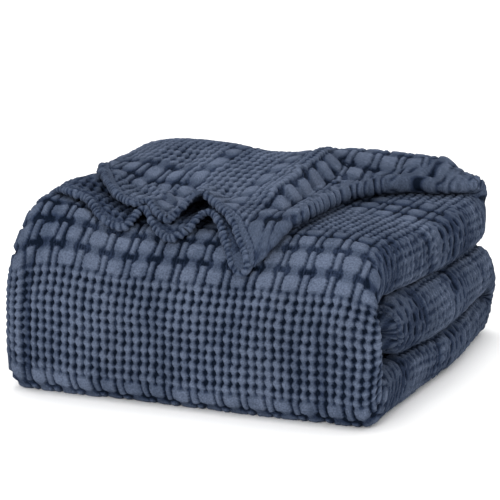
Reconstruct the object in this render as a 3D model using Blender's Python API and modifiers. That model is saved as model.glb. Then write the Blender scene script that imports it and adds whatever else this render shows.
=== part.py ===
"""Waffle weave cotton blanket, folded into a stack with its hems turned over the front.

The blanket is one cloth.  It is folded twice along its length into a strip of four layers,
with rounded double folds on the right.  The strip runs back and forth: a middle run, a turn
at the back, the bottom run, the tall front turn that is the front face, and the top run.  At
the back its outer pair of layers turns over once more and comes forward as a flap, whose two
hems lie in ruffles over the front edge.

Metres, +Z up.  The origin is on the floor under the middle of the stack.  -Y is the front.
"""

import math

import bmesh
import bpy
import numpy as np

# Driving dimensions
SHEET = 0.004            # thickness of the woven cloth
WIDTH_RIGHT = 0.200      # right folded edge, at the middle of the depth
WIDTH_LEFT = -0.197      # left edge, at the middle of the depth
RIGHT_SPREAD = 0.06      # how far the right edge moves out for each metre towards the back
LEFT_SPREAD = 0.03       # how far the left edge moves in for each metre towards the back
RIGHT_BULGE = 0.008      # the right edge stands out by this much near the middle
RIGHT_BULGE_Y = 0.030
RIGHT_BULGE_WIDTH = 0.090
FRONT = -0.190           # middle surface of the front face at floor level
FRONT_LEAN = 0.10        # the front face leans back by this much for each metre of height
FRONT_DEPTH = 0.030      # outermost to innermost layer in the front face
MIDDLE_END = -0.132      # front end of the middle run, at its right edge
MIDDLE_END_SKEW = 0.013  # the left end comes this much further forward
BACK_TURN = 0.158        # where the turn between the middle and bottom runs starts
REAR_TURN = 0.155        # where the turn up into the flap starts

# Heights of the outermost and innermost layers of each run, at the front and at the back
HEIGHT_FRONT_Y = -0.130
HEIGHT_BACK_Y = 0.150
RUN_HEIGHTS = {
    # name: (low at front, high at front, low at back, high at back)
    "bottom": (SHEET / 2, 0.0500, SHEET / 2, 0.0420),
    "middle": (0.0555, 0.1165, 0.0475, 0.1025),
    "top": (0.1220, 0.1710, 0.1080, 0.1600),
}

# Radii of the turns: (outermost layer, innermost layer)
BACK_TURN_REACH = (0.026, 0.005)
REAR_TURN_REACH = (0.005, 0.038)
BOTTOM_CORNER = (0.021, 0.007)
TOP_CORNER = (0.045, 0.008)

# The strip's own section, as fractions of its width (0 left, 1 right) and of its depth
OUTER_FOLD_AT = 0.94     # where the outer right fold starts
FOLD_FULLNESS = 0.62     # below 1 the outer fold is fuller than a half circle
INNER_FOLD_AT = 0.86     # where the inner right fold starts
INNER_FOLD_REACH = 0.025
LEFT_FOLD_AT = 0.025
INNER_HEM_AT = 0.03
LEFT_ROUNDING = 0.10     # the layers close up over this part of the width, on the left
LEFT_SQUEEZE = 0.14
RIGHT_PINCH_AT = 0.90    # the front face thins to a single fold from here
RIGHT_PINCH = 0.72
END_ROUNDING = 0.050     # the middle run closes up over this length at its front end
END_SQUEEZE = 0.35

# Steps of the grid across the strip and along it
ACROSS_STEPS = {"outer": 24, "outer_fold": 8, "left_fold": 4, "inner": 4, "inner_fold": 5}
ALONG_STEPS = (
    # (run, steps)
    ("middle_run", 2),
    ("back_turn", 6),
    ("bottom_run", 3),
    ("bottom_corner", 4),
    ("front_face", 2),
    ("top_corner", 5),
    ("top_run", 3),
    ("rear_turn", 6),
)
FLAP_ROWS = (0.10, 0.20, 0.34, 0.48, 0.61, 0.73, 0.84, 0.93, 1.00)
INNER_FLAP_ROWS = 2      # the inner layers end after this many rows of the flap

# The flap, in millimetres: x, way forward over the top and down the front, height above
# the top run.  "way" is minus y on top, and follows the rounded front edge past it.
LOWER_HEM = (
    # (x, way, height)
    (-202, 100, 8),
    (-180, 132, 8),
    (-162, 144, 10),
    (-141, 147, 11),
    (-117, 164, 8),
    (-98, 169, 7),
    (-85, 167, 8),
    (-71, 152, 18),
    (-50, 168, 10),
    (-33, 175, 7),
    (-19, 169, 9),
    (0, 149, 19),
    (13, 156, 17),
    (27, 174, 9),
    (37, 191, 8),
    (47, 204, 7),
)
UPPER_HEM = (
    # (x, way, height)
    (-202, -25, 10),
    (-149, 81, 19),
    (-128, 112, 22),
    (-106, 136, 21),
    (-87, 147, 21),
    (-72, 146, 20),
    (-52, 155, 17),
    (-38, 160, 15),
    (-27, 154, 22),
    (-16, 136, 33),
    (-2, 138, 30),
    (14, 148, 24),
    (30, 159, 19),
    (44, 175, 16),
    (61, 195, 14),
)
FOLD_LINE = (
    # (x, way), from the back right corner to the tip
    (209, -155),
    (192, -143),
    (175, -126),
    (156, -114),
    (132, -98),
    (112, -60),
    (102, -33),
    (99, 10),
    (100, 60),
    (101, 105),
    (99, 138),
    (93, 161),
    (80, 180),
    (61, 195),
)
FLAP_CREASES = (
    # (way, x of the ridge, its reach to the right, x of the roll beside the fold)
    (-155, 48, 190, 168),
    (-125, 42, 60, 140),
    (-95, 42, 26, 122),
    (-50, 44, 20, 104),
    (0, 44, 18, 95),
    (67, 45, 17, 95),
    (120, 47, 16, 94),
    (170, 49, 16, 90),
)
LOWER_HEIGHT = 0.0068    # lower sheet of the flap above the top run, middle to middle
UPPER_HEIGHT = 0.0165    # upper sheet of the flap, where it lies flat
UPPER_HEIGHT_BACK = 0.0242
LEAST_GAP = 0.0066       # between the flap's sheets, middle to middle
RUFFLE_REACH = 0.075     # the ruffles die out this far behind a hem
RIDGE_HEIGHT = 0.010
RIDGE_LEFT_REACH = 0.024
RIDGE_END = 0.125
SWELL_HEIGHT = 0.008     # the flap stands fuller at the back left
SWELL_X = -0.115
SWELL_WIDTH = 0.085
ROLL_HEIGHT = 0.004
ROLL_WIDTH = 0.010
UPPER_MOUNDS = (
    # (x and way of one end, x and way of the other end, half width, height), millimetres
    (60, -150, 150, -142, 25, 4),
    (180, -120, 202, -160, 18, -8),
)
LOWER_MOUNDS = ((-190, 60, -165, -40, 20, 7),)
MOUND_END = 1.5          # a mound fades past its line's ends over this many half widths
REST_RISE = (0.020, 0.120)   # the upper sheet rises to its back height from and over this
RIDGE_FADE = 0.060
SWELL_FADE = (0.060, 0.200)

# How the stack settles: each pair is where the change starts and how far it takes
FULL_HEIGHT = 0.170      # the unevenness grows from the floor up to this height
HALF_DEPTH = 0.170
HALF_WIDTH = 0.200
WAVE = 0.0020            # height of the slow waves in the faces
SIDE_WAVES = (0.26, 0.15)    # their lengths along y and z
FRONT_WAVES = (0.31, 0.2)    # their length along x, and where they start in turns
SAG_WAVES = (0.37, 0.45, 1.0)
LEFT_RISE = (0.018, 0.005)   # the top stands higher along the left side, at front and back
LEFT_RISE_FROM = (0.080, 0.120)
RIGHT_SAG = 0.006        # and sags along the right side
RIGHT_SAG_FROM = (0.140, 0.060)
CROWN_HEIGHT = 0.020     # the top run and the flap are domed over the middle
CROWN_Y = 0.045
CROWN_LENGTH = 0.080
CROWN_X = -0.060
CROWN_WIDTH = 0.118
CROWN_ABOVE = (0.105, 0.060)
BACK_DROP = 0.009        # and fall away towards the rear turn
BACK_DROP_FROM = (0.090, 0.080)
SIDE_LEAN = (
    # (height, how far in the left side leans, how far in the right side leans), millimetres
    (0, 10, 0),
    (25, 5, 0),
    (45, 4, -2),
    (70, 4, -3),
    (95, 4, 0),
    (115, 6, 4),
    (135, 9, 8),
    (165, 14, 8),
    (200, 16, 8),
)

MIDDLE_X = 0.0074        # middle of the settled stack, which moves to x = 0, y = 0
MIDDLE_Y = 0.0034

CLOTH_COLOUR = (0.062, 0.078, 0.125, 1.0)
CLOTH_ROUGHNESS = 0.92
MILLIMETRE = 0.001


def ease(value):
    """Rise smoothly from 0 to 1."""
    value = np.clip(value, 0.0, 1.0)
    return value * value * (3.0 - 2.0 * value)


def bump(distance, width):
    """A rounded ridge, 1 along its crest."""
    return np.exp(-((distance / width) ** 2))


def mounds(x, way, rows):
    """Soft mounds and hollows, each beside a straight line and fading past its ends."""
    total = np.zeros_like(x)
    for x_start, way_start, x_end, way_end, width, height in np.array(rows) * MILLIMETRE:
        run, rise = x_end - x_start, way_end - way_start
        length = math.hypot(run, rise)
        along = ((x - x_start) * run + (way - way_start) * rise) / length
        aside = ((x - x_start) * rise - (way - way_start) * run) / length
        past = np.maximum(np.maximum(-along, along - length), 0.0)
        total = total + height * bump(aside, width) * bump(past, MOUND_END * width)
    return total


def between(pair, fraction):
    """The value at a fraction of the way from the first number to the second."""
    return pair[0] + (pair[1] - pair[0]) * fraction


def run_heights(name, y):
    """Lowest and highest layer of a run at a place along the depth."""
    low_front, high_front, low_back, high_back = RUN_HEIGHTS[name]
    share = np.clip((y - HEIGHT_FRONT_Y) / (HEIGHT_BACK_Y - HEIGHT_FRONT_Y), 0.0, 1.0)
    return between((low_front, low_back), share), between((high_front, high_back), share)


def left_closeness(across):
    """1 in the middle of the strip, less where the layers close up on the left."""
    return 1.0 - LEFT_SQUEEZE * np.clip(1.0 - across / LEFT_ROUNDING, 0.0, 1.0) ** 2


def layer_depth(across, depth, held_side, pinch=0.0):
    """Depth of a layer after the left side closes up and the front's right edge thins.

    held_side is 0 where the outermost layer stays in place and 1 where the innermost does.
    """
    close = left_closeness(across)
    closed = depth * close + held_side * (1.0 - close)
    return closed * (1.0 - pinch * ease((across - RIGHT_PINCH_AT) / (1.0 - RIGHT_PINCH_AT)))


def side_edges(y):
    """x of the strip's left and right edges at a place along the depth."""
    bulge = RIGHT_BULGE * bump(y - RIGHT_BULGE_Y, RIGHT_BULGE_WIDTH)
    return WIDTH_LEFT + LEFT_SPREAD * y, WIDTH_RIGHT + RIGHT_SPREAD * y + bulge


def side_to_side(across, y):
    """x of a point from its fraction across the strip."""
    return between(side_edges(y), across)


def top_height(x, y):
    """Height of the top run's uppermost layer."""
    low, high = run_heights("top", y)
    left, right = side_edges(y)
    close = left_closeness(np.clip((x - left) / (right - left), 0.0, 1.0))
    return high - (1.0 - close) * (high - low)


def middle_run(across, depth, along):
    """The run in the middle of the stack, from its front end to the back turn."""
    start = MIDDLE_END - MIDDLE_END_SKEW * (1.0 - across)
    y = between((start, BACK_TURN), along)
    low, high = run_heights("middle", y)
    end = 1.0 - END_SQUEEZE * np.clip(1.0 - (y - start) / END_ROUNDING, 0.0, 1.0) ** 2
    z = (low + high) / 2 + (0.5 - layer_depth(across, depth, 0.5)) * (high - low) * end
    return y, z


def back_turn(across, depth, along):
    """The turn at the back from the middle run down to the bottom run: half an ellipse."""
    low, high = run_heights("middle", BACK_TURN)
    upper = high - layer_depth(across, depth, 0.5) * (high - low)
    low, high = run_heights("bottom", BACK_TURN)
    lower = low + layer_depth(across, depth, 0.0) * (high - low)
    angle = math.pi * along
    y = BACK_TURN + between(BACK_TURN_REACH, depth) * np.sin(angle)
    z = (upper + lower) / 2 + (upper - lower) / 2 * np.cos(angle)
    return y, z


def bottom_run(across, depth, along):
    """The run on the floor, from the back turn to the front corner."""
    corner = FRONT + FRONT_DEPTH * depth + between(BOTTOM_CORNER, depth)
    y = between((BACK_TURN, corner), along)
    low, high = run_heights("bottom", y)
    return y, low + layer_depth(across, depth, 0.0) * (high - low)


def bottom_corner(across, depth, along):
    """The quarter turn from the floor up into the front face."""
    angle = math.pi / 2 * along
    inside = layer_depth(across, depth, ease(along), RIGHT_PINCH * ease(2.0 * along))
    radius = between(BOTTOM_CORNER, depth)
    start = FRONT + FRONT_DEPTH * depth * (1.0 - ease(along)) + FRONT_DEPTH * inside * ease(along)
    low, high = run_heights("bottom", HEIGHT_FRONT_Y)
    floor = low + layer_depth(across, depth, ease(along)) * (high - low)
    return start + radius * (1.0 - np.sin(angle)), floor + radius * (1.0 - np.cos(angle))


def front_face(across, depth, along):
    """The tall front face, from the bottom corner to the top corner."""
    inside = layer_depth(across, depth, 1.0, RIGHT_PINCH)
    low, high = run_heights("bottom", HEIGHT_FRONT_Y)
    bottom = low + layer_depth(across, depth, 1.0) * (high - low) + between(BOTTOM_CORNER, depth)
    low, high = run_heights("top", HEIGHT_FRONT_Y)
    top = high - layer_depth(across, depth, 1.0) * (high - low) - between(TOP_CORNER, depth)
    return FRONT + FRONT_DEPTH * inside, between((bottom, top), along)


def top_corner(across, depth, along):
    """The quarter turn from the front face back over the top."""
    angle = math.pi / 2 * along
    inside = layer_depth(across, depth, 1.0, RIGHT_PINCH * (1.0 - ease(along)))
    radius = between(TOP_CORNER, depth)
    low, high = run_heights("top", HEIGHT_FRONT_Y)
    top = high - layer_depth(across, depth, 1.0) * (high - low)
    y = FRONT + FRONT_DEPTH * inside + radius * (1.0 - np.cos(angle))
    return y, top - radius * (1.0 - np.sin(angle))


def top_run(across, depth, along):
    """The run on top, from the front corner to the rear turn."""
    inside = layer_depth(across, depth, 1.0)
    corner = FRONT + FRONT_DEPTH * inside + between(TOP_CORNER, depth)
    y = between((corner, REAR_TURN), along)
    low, high = run_heights("top", y)
    return y, high - layer_depth(across, depth, 1.0) * (high - low)


def rear_turn(across, depth, along):
    """The turn at the back from the top run up into the flap: half an ellipse."""
    low, high = run_heights("top", REAR_TURN)
    lower = high - layer_depth(across, depth, 1.0) * (high - low)
    x = side_to_side(across, REAR_TURN)
    start = flap_height(x, np.full_like(x, -REAR_TURN), depth)
    upper = top_height(x, REAR_TURN) + start
    angle = math.pi * along
    y = REAR_TURN + between(REAR_TURN_REACH, depth) * np.sin(angle)
    z = (upper + lower) / 2 - (upper - lower) / 2 * np.cos(angle)
    return y, z


def curve_through(rows, fraction):
    """A smooth curve through the rows of a table, at fractions of its length."""
    points = np.array(rows, float) * MILLIMETRE
    lengths = np.linalg.norm(np.diff(points, axis=0), axis=1)
    knots = np.concatenate([[0.0], np.cumsum(lengths)]) / lengths.sum()
    slopes = np.gradient(points, knots, axis=0)
    place = np.clip(np.searchsorted(knots, fraction, side="right") - 1, 0, len(knots) - 2)
    span = (knots[place + 1] - knots[place])[..., None]
    part = (fraction[..., None] - knots[place][..., None]) / span
    start, end = points[place], points[place + 1]
    start_slope, end_slope = slopes[place] * span, slopes[place + 1] * span
    return (
        (2 * part**3 - 3 * part**2 + 1) * start
        + (part**3 - 2 * part**2 + part) * start_slope
        + (3 * part**2 - 2 * part**3) * end
        + (part**3 - part**2) * end_slope
    )


def ruffle(hem, x, way, rest):
    """How far a hem's ruffle lifts the sheet over its resting height, behind that hem."""
    line = np.array(hem, float) * MILLIMETRE
    hem_way = np.interp(x, line[:, 0], line[:, 1])
    hem_lift = np.interp(x, line[:, 0], line[:, 2]) - rest
    return hem_lift * ease(1.0 - (hem_way - way) / RUFFLE_REACH)


def lower_sheet_height(x, way):
    """Height of the flap's lower sheet above the top run."""
    ruffles = ruffle(LOWER_HEM, x, way, LOWER_HEIGHT)
    return LOWER_HEIGHT + ruffles + mounds(x, way, LOWER_MOUNDS)


def upper_sheet_height(x, way):
    """Height of the flap's upper sheet above the top run, with its ridge and roll."""
    back = ease((-way - REST_RISE[0]) / REST_RISE[1])
    rest = between((UPPER_HEIGHT, UPPER_HEIGHT_BACK), back)
    crease = np.array(FLAP_CREASES, float) * MILLIMETRE
    past_ridge = x - np.interp(way, crease[:, 0], crease[:, 1])
    reach = np.where(
        past_ridge < 0.0, RIDGE_LEFT_REACH, np.interp(way, crease[:, 0], crease[:, 2])
    )
    ridge = RIDGE_HEIGHT * bump(past_ridge, reach) * ease((RIDGE_END - way) / RIDGE_FADE)
    roll = ROLL_HEIGHT * bump(x - np.interp(way, crease[:, 0], crease[:, 3]), ROLL_WIDTH)
    fade = ease((SWELL_FADE[0] - way) / SWELL_FADE[1])
    swell = SWELL_HEIGHT * bump(x - SWELL_X, SWELL_WIDTH) * fade
    height = rest + ridge + roll + swell + mounds(x, way, UPPER_MOUNDS)
    height = height + ruffle(UPPER_HEM, x, way, UPPER_HEIGHT)
    return np.maximum(height, lower_sheet_height(x, way) + LEAST_GAP)


def flap_height(x, way, depth):
    """Height of any layer of the flap: the outermost is below, the innermost on top."""
    return between((lower_sheet_height(x, way), upper_sheet_height(x, way)), depth)


def flap_plan(across, forward, hem, left_x):
    """Plan of a flap sheet: a Coons patch between the rear turn, a hem and two sides."""
    start_x = side_to_side(across, REAR_TURN)
    start = np.stack([start_x, np.full_like(start_x, -REAR_TURN)], -1)
    finish = curve_through(hem, across)[..., :2]
    hem_right = np.array(hem[-1][:2], float) * MILLIMETRE
    tip_shift = hem_right - np.array(FOLD_LINE[-1], float) * MILLIMETRE
    right = curve_through(FOLD_LINE, forward) + tip_shift * (forward**4)[..., None]
    left_end = np.array(hem[0][:2], float) * MILLIMETRE
    left_start = np.array([left_x, -REAR_TURN])
    left = left_start + (left_end - left_start) * forward[..., None]
    right_start = np.array([side_to_side(1.0, REAR_TURN), -REAR_TURN])
    across = across[..., None]
    forward = forward[..., None]
    corners = (
        (1 - across) * (1 - forward) * left_start
        + across * (1 - forward) * right_start
        + (1 - across) * forward * left_end
        + across * forward * hem_right
    )
    return (
        (1 - forward) * start + forward * finish + (1 - across) * left + across * right - corners
    )


def over_the_edge(x, way, height):
    """Place a flap point: along the top, then round the front corner and down the front."""
    radius = TOP_CORNER[0]
    corner_y = FRONT + radius
    turn = np.clip((way + corner_y) / radius, 0.0, math.pi / 2)
    down = np.maximum(way + corner_y - radius * math.pi / 2, 0.0)
    front_top = top_height(x, corner_y)
    past_edge = way > -corner_y
    y = np.where(past_edge, corner_y - (radius + height) * np.sin(turn), -way)
    over = front_top - radius + (radius + height) * np.cos(turn) - down
    z = np.where(past_edge, over, top_height(x, -way) + height)
    return np.stack([x, y, z], -1)


def flap(across, depth, forward):
    """The flap's layers, from the rear turn to the ruffled hems."""
    left_x = side_to_side(0.0, REAR_TURN)
    lower = flap_plan(across, forward, LOWER_HEM, left_x)
    upper = flap_plan(across, forward, UPPER_HEM, left_x)
    lower_height = lower_sheet_height(lower[..., 0], lower[..., 1])
    upper_height = upper_sheet_height(upper[..., 0], upper[..., 1])
    lower_points = over_the_edge(lower[..., 0], lower[..., 1], lower_height)
    upper_points = over_the_edge(upper[..., 0], upper[..., 1], upper_height)
    return between((lower_points, upper_points), depth[..., None])


def settle(points):
    """Lean the faces, sag the stack unevenly above its flat bottom, and centre it."""
    x, y, z = points[..., 0], points[..., 1], points[..., 2]
    lift = np.clip((z - SHEET) / FULL_HEIGHT, 0.0, 1.0)
    lean = FRONT_LEAN * z * np.clip(-y / HALF_DEPTH, 0.0, 1.0)
    side_lean = np.array(SIDE_LEAN, float) * MILLIMETRE
    left_in = np.interp(z, side_lean[:, 0], side_lean[:, 1]) * ease(-x / HALF_WIDTH)
    right_in = np.interp(z, side_lean[:, 0], side_lean[:, 2]) * ease(x / HALF_WIDTH)
    turn = 2 * math.pi
    side = WAVE * np.sin(turn * (y / SIDE_WAVES[0] + z / SIDE_WAVES[1]))
    front = WAVE * np.sin(turn * (x / FRONT_WAVES[0] + FRONT_WAVES[1]))
    sag = WAVE * np.sin(turn * (x / SAG_WAVES[0] + y / SAG_WAVES[1]) + SAG_WAVES[2])
    back = ease((y - HEIGHT_FRONT_Y) / (HEIGHT_BACK_Y - HEIGHT_FRONT_Y))
    left_share = ease((-x - LEFT_RISE_FROM[0]) / LEFT_RISE_FROM[1])
    sag = sag + between(LEFT_RISE, back) * left_share
    sag = sag - RIGHT_SAG * ease((x - RIGHT_SAG_FROM[0]) / RIGHT_SAG_FROM[1])
    across = np.exp(-(np.abs((x - CROWN_X) / CROWN_WIDTH) ** 4))
    crown = CROWN_HEIGHT * bump(y - CROWN_Y, CROWN_LENGTH) * across
    drop = BACK_DROP * ease((y - BACK_DROP_FROM[0]) / BACK_DROP_FROM[1])
    crown = crown - drop * across
    sag = sag + crown * ease((z - CROWN_ABOVE[0]) / CROWN_ABOVE[1])
    moved_x = x + lift * side + left_in - right_in - MIDDLE_X
    moved_y = y + lean + lift * front - MIDDLE_Y
    return np.stack([moved_x, moved_y, z + lift * sag], -1)


RUNS = {
    "middle_run": middle_run,
    "back_turn": back_turn,
    "bottom_run": bottom_run,
    "bottom_corner": bottom_corner,
    "front_face": front_face,
    "top_corner": top_corner,
    "top_run": top_run,
    "rear_turn": rear_turn,
}


def strip_section():
    """Fractions across and in depth of the points of the strip's section, hem to hem."""
    steps = ACROSS_STEPS
    outer = np.linspace(0.0, 1.0, steps["outer"] + 1)
    turn = np.linspace(0.0, math.pi, steps["outer_fold"] + 1)[1:-1]
    left_turn = np.linspace(0.0, math.pi, steps["left_fold"] + 1)[1:-1]
    inner = np.linspace(0.0, 1.0, steps["inner"] + 1)
    inner_turn = np.linspace(0.0, math.pi, steps["inner_fold"] + 1)[1:-1]
    third = 1.0 / 3.0
    across = [
        between((0.0, OUTER_FOLD_AT), outer),
        OUTER_FOLD_AT + (1.0 - OUTER_FOLD_AT) * np.sin(turn) ** FOLD_FULLNESS,
        between((OUTER_FOLD_AT, LEFT_FOLD_AT), outer),
        LEFT_FOLD_AT - LEFT_FOLD_AT * np.sin(left_turn),
        between((LEFT_FOLD_AT, INNER_FOLD_AT), inner),
        INNER_FOLD_AT + INNER_FOLD_REACH * np.sin(inner_turn),
        between((INNER_FOLD_AT, INNER_HEM_AT), inner),
    ]
    depth = [
        np.ones_like(outer),
        0.5 + 0.5 * np.cos(turn),
        np.zeros_like(outer),
        third / 2 * (1.0 - np.cos(left_turn)),
        np.full_like(inner, third),
        0.5 - third / 2 * np.cos(inner_turn),
        np.full_like(inner, 2 * third),
    ]
    outer_columns = len(outer) * 2 + len(turn)
    return np.concatenate(across), np.concatenate(depth), outer_columns


def fold_rows(across, depth):
    """Points of every row along the strip, from the middle run's end to the flap's hems."""
    rows = []
    for index, (name, steps) in enumerate(ALONG_STEPS):
        fractions = np.linspace(0.0, 1.0, steps + 1)
        if index:
            fractions = fractions[1:]
        for fraction in fractions:
            y, z = RUNS[name](across, depth, fraction)
            x = side_to_side(across, y)
            rows.append(np.stack([x, y + np.zeros_like(x), z + np.zeros_like(x)], -1))
    for forward in FLAP_ROWS:
        rows.append(flap(across, depth, np.full_like(across, forward)))
    return settle(np.array(rows))


def cloth_material():
    """Dyed cotton: dark slate blue, dull."""
    material = bpy.data.materials.new("slate blue cotton")
    material.use_nodes = True
    shader = material.node_tree.nodes["Principled BSDF"]
    shader.inputs["Base Color"].default_value = CLOTH_COLOUR
    shader.inputs["Roughness"].default_value = CLOTH_ROUGHNESS
    shader.inputs["Metallic"].default_value = 0.0
    material.diffuse_color = CLOTH_COLOUR
    return material


def folded_cloth():
    """The cloth as a flat grid, folded point by point, without the inner layers' flap."""
    across, depth, outer_columns = strip_section()
    points = fold_rows(across, depth)
    row_count, column_count = points.shape[:2]
    sheet = bmesh.new()
    bmesh.ops.create_grid(
        sheet, x_segments=column_count - 1, y_segments=row_count - 1, size=1.0
    )
    sheet.verts.ensure_lookup_table()
    last_inner_row = row_count - 1 - len(FLAP_ROWS) + INNER_FLAP_ROWS
    unused = []
    for index, vertex in enumerate(sheet.verts):
        row, column = divmod(index, column_count)
        vertex.co = points[row, column]
        if row > last_inner_row and column >= outer_columns:
            unused.append(vertex)
    bmesh.ops.delete(sheet, geom=unused, context="VERTS")
    mesh = bpy.data.meshes.new("blanket")
    sheet.to_mesh(mesh)
    sheet.free()
    mesh.shade_smooth()
    return mesh


def main():
    """Build the folded blanket."""
    for old in list(bpy.data.objects):
        bpy.data.objects.remove(old, do_unlink=True)
    collection = bpy.data.collections.new("waffle weave blanket")
    bpy.context.scene.collection.children.link(collection)
    blanket = bpy.data.objects.new("blanket", folded_cloth())
    blanket.data.materials.append(cloth_material())
    collection.objects.link(blanket)
    thickness = blanket.modifiers.new("cloth thickness", "SOLIDIFY")
    thickness.thickness = SHEET
    thickness.offset = 0.0
    thickness.use_quality_normals = True


main()
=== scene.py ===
"""The folded waffle weave cotton blanket, dressed in its weave for the picture.

The cloth follows the same folds as the solid, point by point.  Its outer face is built as
patches of skin with the waffle in relief: knobbly ribs with holes between them, and bands of
puffs in chains.  The inner face, the rolled hems and the coarse parts that stay hidden close
it up.  Metres, +Z up, the front is -Y.
"""

import logging
import math
from dataclasses import dataclass
from enum import Enum

import bpy
import numpy as np
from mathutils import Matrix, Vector


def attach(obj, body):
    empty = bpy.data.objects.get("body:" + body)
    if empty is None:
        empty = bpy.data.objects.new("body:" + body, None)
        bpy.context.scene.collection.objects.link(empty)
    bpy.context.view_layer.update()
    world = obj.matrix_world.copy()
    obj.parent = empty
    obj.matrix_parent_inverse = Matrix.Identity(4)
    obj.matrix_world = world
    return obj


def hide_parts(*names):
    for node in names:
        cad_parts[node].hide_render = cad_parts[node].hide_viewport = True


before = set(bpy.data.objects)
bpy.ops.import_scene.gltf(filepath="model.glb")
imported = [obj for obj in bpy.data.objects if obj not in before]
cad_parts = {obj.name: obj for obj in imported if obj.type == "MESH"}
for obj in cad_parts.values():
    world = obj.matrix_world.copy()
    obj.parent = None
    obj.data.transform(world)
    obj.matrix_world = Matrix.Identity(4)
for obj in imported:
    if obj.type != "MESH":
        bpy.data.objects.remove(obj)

LOG = logging.getLogger("waffle blanket")
MM = 0.001
TURN = 2 * math.pi
SMALL = 1e-12
Pair = tuple[float, float]
Triple = tuple[float, float, float]
Values = tuple[float, ...]
Rows = tuple[Values, ...]
Grid = np.ndarray
Grids = tuple[Grid, Grid]


def ease(value: Grid) -> Grid:
    """Rise smoothly from 0 to 1: 3v^2 - 2v^3."""
    value = np.clip(value, 0.0, 1.0)
    return value * value * (3.0 - 2.0 * value)


def ramp(value: Grid, start: float, length: float) -> Grid:
    """Rise smoothly from 0 at the start to 1 at the end of a length."""
    return ease((value - start) / length)


def bump(distance: Grid, width: float) -> Grid:
    """A rounded ridge, 1 along its crest: exp(-(distance / width)^2)."""
    return np.exp(-((distance / width) ** 2))


def swing(value: Grid) -> Grid:
    """A wave, 1 at whole numbers and -1 halfway between them: cos(2 pi v)."""
    return np.cos(TURN * value)


def between(pair: tuple, fraction: Grid) -> Grid:
    """The value at a fraction of the way from the first number to the second."""
    return pair[0] + (pair[1] - pair[0]) * fraction


def run_length(points: Grid, axis: int = 0) -> Grid:
    """Distance run along lines of points: the summed lengths of the steps.

    Args:
        points: a line or a grid of points, with their coordinates last.
        axis: the axis that is run along.

    Returns:
        The distance at each point, 0 at the first.
    """
    steps = np.linalg.norm(np.diff(points, axis=axis), axis=-1)
    start = np.zeros_like(np.take(steps, [0], axis=axis))
    return np.concatenate([start, np.cumsum(steps, axis=axis)], axis=axis)


def spaced(places: Grid, points: Grid, step: float) -> Grid:
    """Places spaced evenly by the length of the line through the points.

    Args:
        places: the place of each point.
        points: the line's points.
        step: the widest spacing, in metres.

    Returns:
        The places, the first and the last of them included.
    """
    total = run_length(points)
    count = max(2, math.ceil(total[-1] / step) + 1)
    return np.interp(np.linspace(0.0, total[-1], count), total, places)


def curve(value: Grid, rows: Rows, column: int = 1) -> Grid:
    """A smooth curve through a table: cubic, with each row's slope taken from its neighbours.

    Args:
        value: where to read the curve, in the unit of the table's first column.
        rows: the table, its first column rising.
        column: which column gives the curve's height.

    Returns:
        The height at each value, constant past the ends.
    """
    table = np.array(rows, float)
    places, heights = table[:, 0], table[:, column]
    slopes = np.gradient(heights, places)
    index = np.clip(np.searchsorted(places, value, side="right") - 1, 0, len(places) - 2)
    span = places[index + 1] - places[index]
    part = np.clip((value - places[index]) / span, 0.0, 1.0)
    rise = (2 * part**3 - 3 * part**2 + 1) * heights[index]
    rise += (part**3 - 2 * part**2 + part) * slopes[index] * span
    rise += (3 * part**2 - 2 * part**3) * heights[index + 1]
    return rise + (part**3 - part**2) * slopes[index + 1] * span


def creased(first: Grid, second: Grid, rows: Rows) -> Grid:
    """Soft ridges and troughs placed along straight lines.

    Each is a bump beside its line, and past the line's ends it fades by a bump half as wide
    again.

    Args:
        first: place across, in millimetres.
        second: place along, in millimetres.
        rows: for each crease, both ends of its line, its half width and its height.

    Returns:
        The summed height in millimetres.
    """
    total = np.zeros_like(first)
    for first_start, second_start, first_end, second_end, width, height in rows:
        run, rise = first_end - first_start, second_end - second_start
        length = math.hypot(run, rise)
        along = ((first - first_start) * run + (second - second_start) * rise) / length
        aside = ((first - first_start) * rise - (second - second_start) * run) / length
        past = np.maximum(np.maximum(-along, along - length), 0.0)
        total = total + height * bump(aside, width) * bump(past, 1.5 * width)
    return total


class Run(Enum):
    """The runs of the folded strip in order along it; each takes one unit of the path."""

    MIDDLE = 0
    BACK_TURN = 1
    BOTTOM = 2
    BOTTOM_CORNER = 3
    FRONT = 4
    TOP_CORNER = 5
    TOP = 6
    REAR_TURN = 7
    FLAP = 8


END_OF_PATH = 9.0
END_OF_SECTION = 7.0
MIDDLE_COLUMN = 2.5
LEFT_COLUMN = 3.0


@dataclass(frozen=True)
class Spot:
    """Points of one run: fraction across the strip, depth in its layers, fraction along it."""

    across: Grid
    depth: Grid
    along: Grid


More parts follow.
